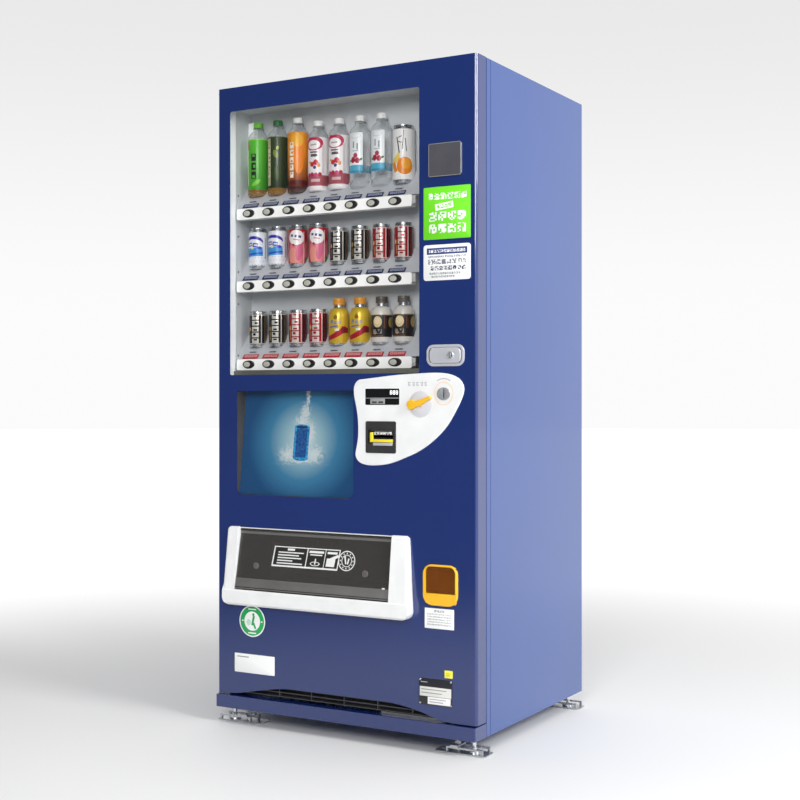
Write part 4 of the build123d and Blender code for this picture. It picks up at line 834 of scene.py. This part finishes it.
def make_stickers():
    white, ink = "#F4F5F4", "#6E7278"
    green = printed("printed_film_lime", "#72DC2A", [
        marks(2, 44, 56, 8.5, white), block(-8, 18, 27, 8.5, white, 7),
        marks(-8, 18, 21, 5, "#72DC2A", 7), marks(3, -9, 56, 12, white),
        marks(3, -41, 56, 12, white)])
    sticker("green_sticker", *STICKER_SIDES, 1353 * MM, 1491 * MM, 3 * MM, green)
    notice = printed("printed_film_notice", white, [
        block(0, 30, 60, 8.5, "#2A3A78"), marks(0, 30, 54, 4, white),
        marks(0, 15.5, 56, 2.8, "#5A6080"), marks(0, 2, 56, 6.5, "#777B88"),
        marks(4, -15, 52, 5.5, "#2C3150"), marks(-6, -29, 46, 2.8, "#6A6F80"),
        marks(-12, -37, 36, 2.4, "#6A6F80")])
    sticker("white_notice", *STICKER_SIDES, 1245 * MM, 1339 * MM, 8 * MM, notice)
    note = printed("printed_film_small_notice", white, [marks(0, 19, 16, 3, "#84878E")] + [
        marks(0, 11 - 6.8 * row, 36, 1.9, "#8F9298") for row in range(5)])
    sticker("small_white_notice", RIGHT - 154.4 * MM, RIGHT - 67 * MM, 328 * MM, 381.5 * MM, 1.5 * MM, note)
    ring = printed("printed_film_round_green", white, [
        oval(0, 0, 41.5, 41.5, "#22A558"), oval(0, 0, 27.5, 27.5, white),
        block(3, 2, 3.5, 14, "#22A558", -12), oval(4, 19, 4, 4, "#22A558"),
        block(8, -13, 3, 9, "#22A558", 24), oval(-12, -4, 7.5, 9, "#BFE3CC"),
        block(-33, 0, 3, 1.6, white), block(33, 0, 3, 1.6, white),
        block(0, 34, 14, 1.8, white), block(0, -34, 14, 1.8, white)])
    sticker("round_sticker", -342 * MM, -252 * MM, 254 * MM, 344 * MM, 0, ring, ellipse=True)
    label = printed("printed_film_blank_label", white, dashes(-60, 18, 40, 1, 10, 3, "#8C8F94"))
    sticker("white_label", -359 * MM, -219 * MM, 150 * MM, 204 * MM, 2 * MM, label)
    yellow = printed("printed_film_yellow", "#F2EA4E", dashes(-7, 2, 14, 2, 5, 2, "#B8AE2A"))
    sticker("yellow_sticker", RIGHT - 95 * MM, RIGHT - 71 * MM, 201 * MM, 221 * MM, 1 * MM, yellow)
    rating = printed("etched_rating_plate", "#26272B", [
        block(0, 0.5, 47, 12.5, "#D9D9D4"), block(11, -22.5, 34, 9.5, "#F0F0EE")]
        + dashes(-42, 6, 75, 2, 9, 2, "#7A7C80") + dashes(-18, -19, 50, 2, 7, 2, "#9A9CA0")
        + dashes(-44, 25, 20, 1, 5, 2.2, "#A9ABB0"))
    x0, x1, z0, z1 = RIGHT - 172 * MM, RIGHT - 72 * MM, 125 * MM, 195 * MM
    sticker("rating_plate", x0, x1, z0, z1, 2 * MM, rating, lift=0.8)
    bm = bmesh.new()
    for x in (x0 + 4 * MM, x1 - 4 * MM):
        for z in (z0 + 4 * MM, z1 - 4 * MM):
            lathe(bm, [(0, 0), (3.0 * MM, 0), (2.7 * MM, 1.0 * MM), (1.6 * MM, 1.7 * MM), (0, 1.9 * MM)],
                  (x, FACE - 0.7 * MM, z), axis="Y", steps=20)
    keep("rating_plate_rivets", bm, zinc)
    reader_low, reader_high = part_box("card_reader")
    bm = bmesh.new()
    cx, cz = (reader_low.x + reader_high.x) / 2, (reader_low.z + reader_high.z) / 2
    frame_ring(bm, inset_outline(reader_low, reader_high, 1 * MM, 4 * MM),
               inset_outline(reader_low, reader_high, 2.4 * MM, 3 * MM),
               reader_low.y - 0.2 * MM, 0.4 * MM)
    keep("reader_outline", bm, moulded("printed_reader_grey", "#87898B", "#808284", 0.4))


# ---- Poster ----

def make_poster():
    """The print on the leaning board, and the clear cover in front of it."""
    low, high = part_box("poster_panel")
    made, tree, shader = material("printed_poster_film", "#2E6E96", 0.25, Coat_Weight=0.3)
    place = add(tree, "UVMap", uv_map="print")
    glow_centre, glow_half = (0.012, 0.01), (0.19, 0.185)
    scaled = from_centre(tree, place, glow_centre, glow_half)[1]
    reach = add(tree, "VectorMath", {0: scaled}, output="Value", operation="LENGTH")
    glow = add(tree, "ValToRGB", {"Fac": reach}, output=None)
    stops = [(0.0, "#E2F0F3"), (0.28, "#A3CAD6"), (0.62, "#3F86B0"), (1.0, "#1A5286")]
    glow.color_ramp.elements[0].color = linear(stops[0][1])
    glow.color_ramp.elements[1].color = linear(stops[-1][1])
    for position, ink in stops[1:-1]:
        glow.color_ramp.elements.new(position).color = linear(ink)
    noise = add(tree, "TexNoise", {"Vector": place, "Scale": 80.0, "Detail": 5.0, "Roughness": 0.6},
                output="Color")
    shift = add(tree, "VectorMath", {0: noise, 1: (0.5, 0.5, 0.5)}, operation="SUBTRACT")
    wave = add(tree, "VectorMath", {0: shift, "Scale": 0.028}, operation="SCALE")
    bent = add(tree, "VectorMath", {0: place, 1: wave}, operation="ADD")
    density = 0.0
    plumes = (((0.021, 0.130), (0.012, 0.060)), ((0.014, 0.088), (0.030, 0.044)),
              ((0.008, 0.062), (0.050, 0.030)),
              ((0.036, 0.030), (0.026, 0.060)), ((-0.034, -0.030), (0.060, 0.044)),
              ((0.050, -0.030), (0.060, 0.044)),
              ((0.008, -0.048), (0.095, 0.014)))
    for centre, half in plumes:
        scaled = from_centre(tree, bent, centre, half)[1]
        reach = add(tree, "VectorMath", {0: scaled}, output="Value", operation="LENGTH")
        left = add(tree, "Math", {0: 1.0, 1: reach}, operation="SUBTRACT")
        density = add(tree, "Math", {0: left, 1: density}, operation="MAXIMUM")
    streaks = add(tree, "TexNoise", {"Vector": bent, "Scale": 75.0, "Detail": 7.0, "Roughness": 0.62,
                                     "Distortion": 1.2},
                  noise_type="RIDGED_MULTIFRACTAL")
    lifted = add(tree, "Math", {0: streaks, 1: density}, operation="ADD")
    thread = add(tree, "MapRange", {"Value": lifted, "From Min": 0.62, "From Max": 1.05, "To Max": 1.0})
    near = add(tree, "MapRange", {"Value": density, "From Min": 0.0, "From Max": 0.35})
    foam = add(tree, "Math", {0: thread, 1: near}, operation="MULTIPLY")
    cells = add(tree, "TexVoronoi", {"Vector": place, "Scale": 330.0})
    limit = add(tree, "Math", {0: density, 1: 0.9}, operation="MULTIPLY")
    drops = add(tree, "Math", {0: cells, 1: limit}, operation="LESS_THAN")
    spray = add(tree, "Math", {0: drops, 1: 0.75}, operation="MULTIPLY")
    water = add(tree, "Math", {0: foam, 1: spray}, operation="MAXIMUM")
    colour = add(tree, "Mix", {"Factor": water, 6: glow.outputs[0], 7: linear("#E9F1F1")}, output=2,
                 data_type="RGBA")
    *outline, ink = block(12, -58, 100, 0.8, "#DCECEF")
    line = shape_mask(tree, place, *outline)
    faint = add(tree, "Math", {0: line, 1: 0.1}, operation="MULTIPLY")
    colour = add(tree, "Mix", {"Factor": faint, 6: colour, 7: linear(ink)}, output=2, data_type="RGBA")
    lean = -1.5             # degrees the printed can leans
    can_shapes = [block(6, 3, 25.5, 44, "#34B4EC", lean), oval(6, 46, 25.5, 8, "#34B4EC", lean),
                  oval(6, -41, 25.5, 8, "#34B4EC", lean), block(6, 1, 18.5, 40, "#1F5FA8", lean),
                  oval(6, 46, 20, 4.5, "#123E78", lean)]
    can = 0.0
    for *outline, ink in can_shapes:
        mask = shape_mask(tree, place, *outline)
        can = add(tree, "Math", {0: mask, 1: can}, operation="MAXIMUM")
        colour = add(tree, "Mix", {"Factor": mask, 6: colour, 7: linear(ink)}, output=2, data_type="RGBA")
    cloud = add(tree, "TexNoise", {"Vector": place, "Scale": 120.0, "Detail": 6.0})
    patch = add(tree, "MapRange", {"Value": cloud, "From Min": 0.45, "From Max": 0.62, "To Max": 0.8})
    both = add(tree, "Math", {0: patch, 1: can}, operation="MULTIPLY")
    colour = add(tree, "Mix", {"Factor": both, 6: colour, 7: linear("#1B3A80")}, output=2, data_type="RGBA")
    dew = add(tree, "TexVoronoi", {"Vector": place, "Scale": 300.0})
    drop = add(tree, "Math", {0: dew, 1: 0.2}, operation="LESS_THAN")
    bright = add(tree, "Math", {0: drop, 1: can}, operation="MULTIPLY")
    half_share = add(tree, "Math", {0: bright, 1: 0.5}, operation="MULTIPLY")
    colour = add(tree, "Mix", {"Factor": half_share, 6: colour, 7: linear("#8FD0F2")}, output=2,
                 data_type="RGBA")
    tree.links.new(colour, shader.inputs["Base Color"])
    bm = bmesh.new()
    x0, x1 = low.x + 4.2 * MM, high.x - 4.2 * MM
    z0, z1 = low.z + 4.5 * MM, high.z - 4.5 * MM
    y0, y1 = FACE + 14 * MM, FACE + 46 * MM
    verts = [bm.verts.new(p) for p in ((x0, y0, z0), (x1, y0, z0), (x1, y1, z1), (x0, y1, z1))]
    face = bm.faces.new(verts)
    lift = bmesh.ops.extrude_face_region(bm, geom=[face])
    moved = [item for item in lift["geom"] if isinstance(item, bmesh.types.BMVert)]
    bmesh.ops.translate(bm, verts=moved, vec=(0, -0.8 * MM, 0.14 * MM))
    bmesh.ops.recalc_face_normals(bm, faces=bm.faces[:])
    flat_print(bm, (x0 + x1) / 2, (z0 + z1) / 2)
    keep("poster_print", bm, made)
    bm = bmesh.new()
    plate(bm, inset_outline(low, high, 1 * MM, 4 * MM, 3), FACE + 2.2 * MM, 1.5 * MM)
    keep("poster_cover", bm, clear_acrylic)


# ---- Delivery port trim ----

def make_delivery_trim():
    """Grip band, sign, ring, bumps and stay on the flap; side liners and a ribbed mat in the bin."""
    low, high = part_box("delivery_flap")
    inner0, inner1 = low.x + 9 * MM, high.x - 9 * MM
    top, bottom = high.z - 4 * MM, low.z
    y_top, y_bottom = FACE + 4 * MM, low.y + 1 * MM

    def flap_y(z):
        """Front face of the flap at a height."""
        return y_bottom + (y_top - y_bottom) * (z - bottom) / (top - bottom)

    def on_flap(bm, height=0.0):
        """Moves pieces drawn at y = 0 on to the flap's slope."""
        for vert in bm.verts:
            vert.co.y += flap_y(vert.co.z) - height

    band = bmesh.new()
    plate(band, rounded_outline(inner0, inner1, bottom, bottom + 30 * MM, 1.5 * MM, 3), -1.6 * MM, 1.8 * MM,
          1.2 * MM)
    plate(band, rounded_outline(inner0, inner1, top - 9 * MM, top, 1.5 * MM, 3), -0.8 * MM, 1.0 * MM,
          0.6 * MM)
    on_flap(band)
    keep("flap_grip_band", band, moulded("moulded_abs_dark_grey", "#6C6B6A", "#626160", 0.3), "delivery_flap")
    white, ground = "#E6E7E5", "#2A2927"
    sign_x0, sign_x1, sign_z0, sign_z1 = -218 * MM, 2 * MM, 463 * MM, 519 * MM
    cx, cz = (sign_x0 + sign_x1) / 2, (sign_z0 + sign_z1) / 2
    shapes = [block(-52, 1, 54, 24.5, ground), block(33.5, 1, 28.5, 24.5, ground),
              block(85.5, 1, 21.5, 24.5, ground)]
    shapes += [block(-52, 20.5, 12, 3, white)]
    shapes += dashes(-94, 12, 86, 5, 7.5, 3.2, white)
    shapes += [oval(33.5, -14, 16, 6, white), oval(33.5, -14, 13, 4.2, ground),
               block(33.5, -8, 2, 8, white), block(33.5, 18, 24, 3, white),
               block(33.5, 10, 20, 1.6, white)]
    shapes += [block(84, -8, 14, 11, white), block(90, 4, 18, 4, white, 24),
               block(85.5, 18, 16, 3, white)]
    sign = printed("printed_flap_sign", white, shapes)
    bm = bmesh.new()
    plate(bm, rounded_outline(sign_x0, sign_x1, sign_z0, sign_z1, 1.5 * MM, 2), -0.35 * MM, 0.45 * MM)
    flat_print(bm, cx, cz)
    for vert in bm.verts:
        vert.co.x += (vert.co.z - cz) * 0.1
    on_flap(bm)
    keep("flap_sign", bm, sign, "delivery_flap")
    seal = printed("printed_flap_ring", white, [
        oval(0, 0, 24.5, 24.5, ground), oval(0, 0, 16.5, 16.5, white),
        oval(0, 0, 14.5, 14.5, ground), block(-4, 0, 2.2, 9, white, 14),
        block(5, -1, 2.2, 8, white, -10), oval(-6, 10, 3, 3, white)]
        + [block(20.5 * math.cos(a), 20.5 * math.sin(a), 1.7, 1.7, white, math.degrees(a))
           for a in [math.tau * k / 12 for k in range(12)]])
    bm = bmesh.new()
    plate(bm, oval_outline(27 * MM, 491 * MM, 27 * MM, 27 * MM, 56), -0.5 * MM, 0.6 * MM)
    flat_print(bm, 27 * MM, 491 * MM)
    on_flap(bm)
    keep("flap_ring_sticker", bm, seal, "delivery_flap")
    bm = bmesh.new()
    for x in (-273 * MM, 89 * MM):
        lathe(bm, [(0, -0.4 * MM), (10 * MM, -0.4 * MM), (10 * MM, 0.6 * MM), (8.6 * MM, 1.8 * MM),
                   (5 * MM, 2.2 * MM), (0, 2.2 * MM)],
              (x, flap_y(460 * MM), 460 * MM), axis="Y", steps=32)
    keep("flap_bumpers", bm, clear_sheet("clear_bumper", "#6A6762", 0.75, 0.95), "delivery_flap")
    bm = bmesh.new()
    brick(bm, (146 * MM, -1.0 * MM, 422 * MM), (155 * MM, 0.2 * MM, 427 * MM), 0.4 * MM)
    on_flap(bm)
    keep("flap_latch_mark", bm, white_abs, "delivery_flap")
    bm = bmesh.new()
    for x in (low.x + 7.6 * MM, high.x - 10.1 * MM):
        brick(bm, (x, FACE + 2 * MM, 380 * MM), (x + 2.5 * MM, FACE + 146 * MM, 556 * MM), 0.8 * MM)
    keep("bin_side_liners", bm, plastic_grey)
    bm = bmesh.new()
    stay_foot, stay_lean = 470 * MM, 0.6
    brick(bm, (low.x + 12 * MM, 4.2 * MM, stay_foot), (low.x + 25 * MM, 8 * MM, 540 * MM), 1.5 * MM)
    for vert in bm.verts:
        vert.co.x += (vert.co.z - stay_foot) * stay_lean
    on_flap(bm)
    keep("flap_stay", bm, clip_grey, "delivery_flap")
    bm = bmesh.new()
    brick(bm, (low.x + 9 * MM, FACE + 4 * MM, 379.1 * MM), (high.x - 9 * MM, FACE + 140 * MM, 381 * MM),
          0.6 * MM)
    for rib in range(9):
        x = low.x + (50 + rib * 52) * MM
        brick(bm, (x - 2 * MM, FACE + 8 * MM, 380.8 * MM), (x + 2 * MM, FACE + 136 * MM, 382.2 * MM),
              0.5 * MM)
    keep("bin_floor_mat", bm, rubber_black)


# ---- Lock, painted shade behind the grille, and gaskets ----

def make_lock_trim():
    """Bright ring and face of the key cylinder, and a dark sheet behind the grille that paints the shade
    behind its slats.
    """
    low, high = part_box("key_cylinder")
    x, z = (low.x + high.x) / 2, (low.z + high.z) / 2
    radius = (high.x - low.x) / 2
    bm = bmesh.new()
    frame_ring(bm, oval_outline(x, z, radius - 0.4 * MM, radius - 0.4 * MM),
               oval_outline(x, z, radius - 2.6 * MM, radius - 2.6 * MM),
               low.y - 0.9 * MM, 1.0 * MM, 0.3 * MM)
    brick(bm, (x - 3.6 * MM, low.y - 0.5 * MM, z - 5 * MM), (x - 1.6 * MM, low.y + 0.1 * MM, z + 5 * MM),
          0.2 * MM)
    brick(bm, (x + 1.6 * MM, low.y - 0.5 * MM, z - 5 * MM), (x + 3.6 * MM, low.y + 0.1 * MM, z + 5 * MM),
          0.2 * MM)
    keep("key_face", bm, moulded("nickel_plated_key_face", "#E2E3E6", "#D0D1D5", 0.2, 2.0, 0.02,
                                 Metallic=0.5), "key_cylinder")
    # Painted shade: a black sheet across the back of the grille stands for the shade in the space behind the
    # slats.
    low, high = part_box("door_grille")
    bm = bmesh.new()
    brick(bm, (low.x + 12 * MM, high.y + 1 * MM, low.z + 1 * MM),
          (high.x - 12 * MM, high.y + 4 * MM, high.z - 1 * MM), 0.5 * MM)
    keep("grille_painted_shade_sheet", bm, rubber_black)


def make_seals():
    """Magnetic gaskets of both doors."""
    low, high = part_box("door_panel")
    bm = bmesh.new()
    frame_ring(bm, rounded_outline(low.x + 3 * MM, high.x - 3 * MM, low.z + 40 * MM, high.z - 4 * MM,
                                   10 * MM),
               rounded_outline(low.x + 12 * MM, high.x - 12 * MM, low.z + 49 * MM, high.z - 13 * MM, 6 * MM),
               high.y + 0.1 * MM, 2.4 * MM, 0.6 * MM)
    keep("outer_door_gasket", bm, rubber_black)
    low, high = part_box("inner_door")
    bm = bmesh.new()
    frame_ring(bm, inset_outline(low, high, 4 * MM, 6 * MM),
               inset_outline(low, high, 13 * MM, 4 * MM),
               high.y + 0.05 * MM, 1.6 * MM, 0.5 * MM)
    keep("inner_door_gasket", bm, rubber_black, "inner_door")


# ---- Studio ----

FLOOR_COLOUR = "#DFDFDF"
FLOOR_RADIUS = 40.0
FLOOR_FADE = (0.9, 3.6)         # distances between which the floor turns into the sky
DARK_SIDE = (-0.5, -0.86, 0.12)     # direction from which least light comes
LAMPS = (("key", (4.5, -0.9, 2.9), (0.2, 0, 0.9), 1.5, 190),        # name, place, aim, size in metres, watts
         ("front", (1.6, -4.4, 2.6), (0, 0, 0.9), 1.6, 125))
CAMERA_PLACE = (1.9885, FACE - 3.1152, 0.9303)
CAMERA_TURN = 30.0              # degrees from straight ahead
LENS, SENSOR = 60.54, 36.0      # millimetres


def sky_level(tree, direction):
    """Brightness by direction: bright all round, darker to the front left and a little overhead."""
    facing = add(tree, "VectorMath", {0: direction, 1: DARK_SIDE}, output="Value",
                 operation="DOT_PRODUCT")
    side = add(tree, "MapRange", {"Value": facing, "From Min": 0.25, "From Max": 0.85,
                                            "To Min": 0.97, "To Max": 0.14}, interpolation_type="SMOOTHSTEP")
    split = add(tree, "SeparateXYZ", {0: direction}, output=None)
    height = add(tree, "MapRange", {"Value": split.outputs[2], "From Min": 0.06, "From Max": 0.3,
                                              "To Min": 1.0, "To Max": 0.84}, interpolation_type="SMOOTHSTEP")
    return add(tree, "Math", {0: side, 1: height}, operation="MULTIPLY")


def make_studio():
    """A wide pale floor under a bright sky that is darker to the front left, and two large soft lamps."""
    bm = bmesh.new()
    bmesh.ops.create_circle(bm, cap_ends=True, segments=96, radius=FLOOR_RADIUS)
    mesh = bpy.data.meshes.new("floor")
    bm.to_mesh(mesh)
    bm.free()
    floor = bpy.data.objects.new("floor", mesh)
    bpy.context.scene.collection.objects.link(floor)
    made, tree, shader = material("pale_matt_floor", FLOOR_COLOUR, 0.6)
    grain(tree, shader, 30.0, 0.02)
    place = add(tree, "TexCoord", output="Object")
    distance = add(tree, "VectorMath", {0: place}, output="Value", operation="LENGTH")
    far = add(tree, "MapRange", {"Value": distance, "From Min": FLOOR_FADE[0], "From Max": FLOOR_FADE[1]},
              interpolation_type="SMOOTHSTEP")
    pale = add(tree, "Mix", {"Factor": far, 6: linear(FLOOR_COLOUR), 7: (0, 0, 0, 1)}, output=2,
               data_type="RGBA")
    tree.links.new(pale, shader.inputs["Base Color"])
    shader.inputs["Emission Color"].default_value = (1, 1, 1, 1)
    sky = sky_level(tree, add(tree, "VectorMath", {0: place}, operation="NORMALIZE"))
    tree.links.new(add(tree, "Math", {0: sky, 1: far}, operation="MULTIPLY"),
                   shader.inputs["Emission Strength"])
    mesh.materials.append(made)
    for name, place, aim, size, power in LAMPS:
        data = bpy.data.lights.new(name, "AREA")
        data.shape = "SQUARE"
        data.size = size
        data.energy = power
        light = bpy.data.objects.new(name, data)
        light.location = place
        light.rotation_euler = (Vector(aim) - Vector(place)).to_track_quat("-Z", "Y").to_euler()
        bpy.context.scene.collection.objects.link(light)
    world = bpy.data.worlds.new("studio")
    bpy.context.scene.world = world
    world.use_nodes = True
    tree = world.node_tree
    tree.nodes.clear()
    level = sky_level(tree, add(tree, "TexCoord", output="Generated"))
    glow = add(tree, "Background", {"Color": (1, 1, 1, 1), "Strength": level})
    add(tree, "OutputWorld", {"Surface": glow}, output=None)
    bpy.context.scene.view_settings.view_transform = "Standard"


def make_camera():
    """The camera stands to the front right at chest height, level, on a long lens."""
    data = bpy.data.cameras.new("camera")
    data.lens, data.sensor_width = LENS, SENSOR
    camera = bpy.data.objects.new("camera", data)
    camera.location = CAMERA_PLACE
    camera.rotation_euler = (math.radians(90), 0, math.radians(CAMERA_TURN))
    bpy.context.scene.collection.objects.link(camera)
    bpy.context.scene.camera = camera


make_camera()
make_studio()
dress_cad_nodes()
make_drinks()
make_price_cards()
make_button_trim()
make_display_trim()
make_coin_panel_trim()
make_stickers()
make_poster()
make_delivery_trim()
make_lock_trim()
make_seals()
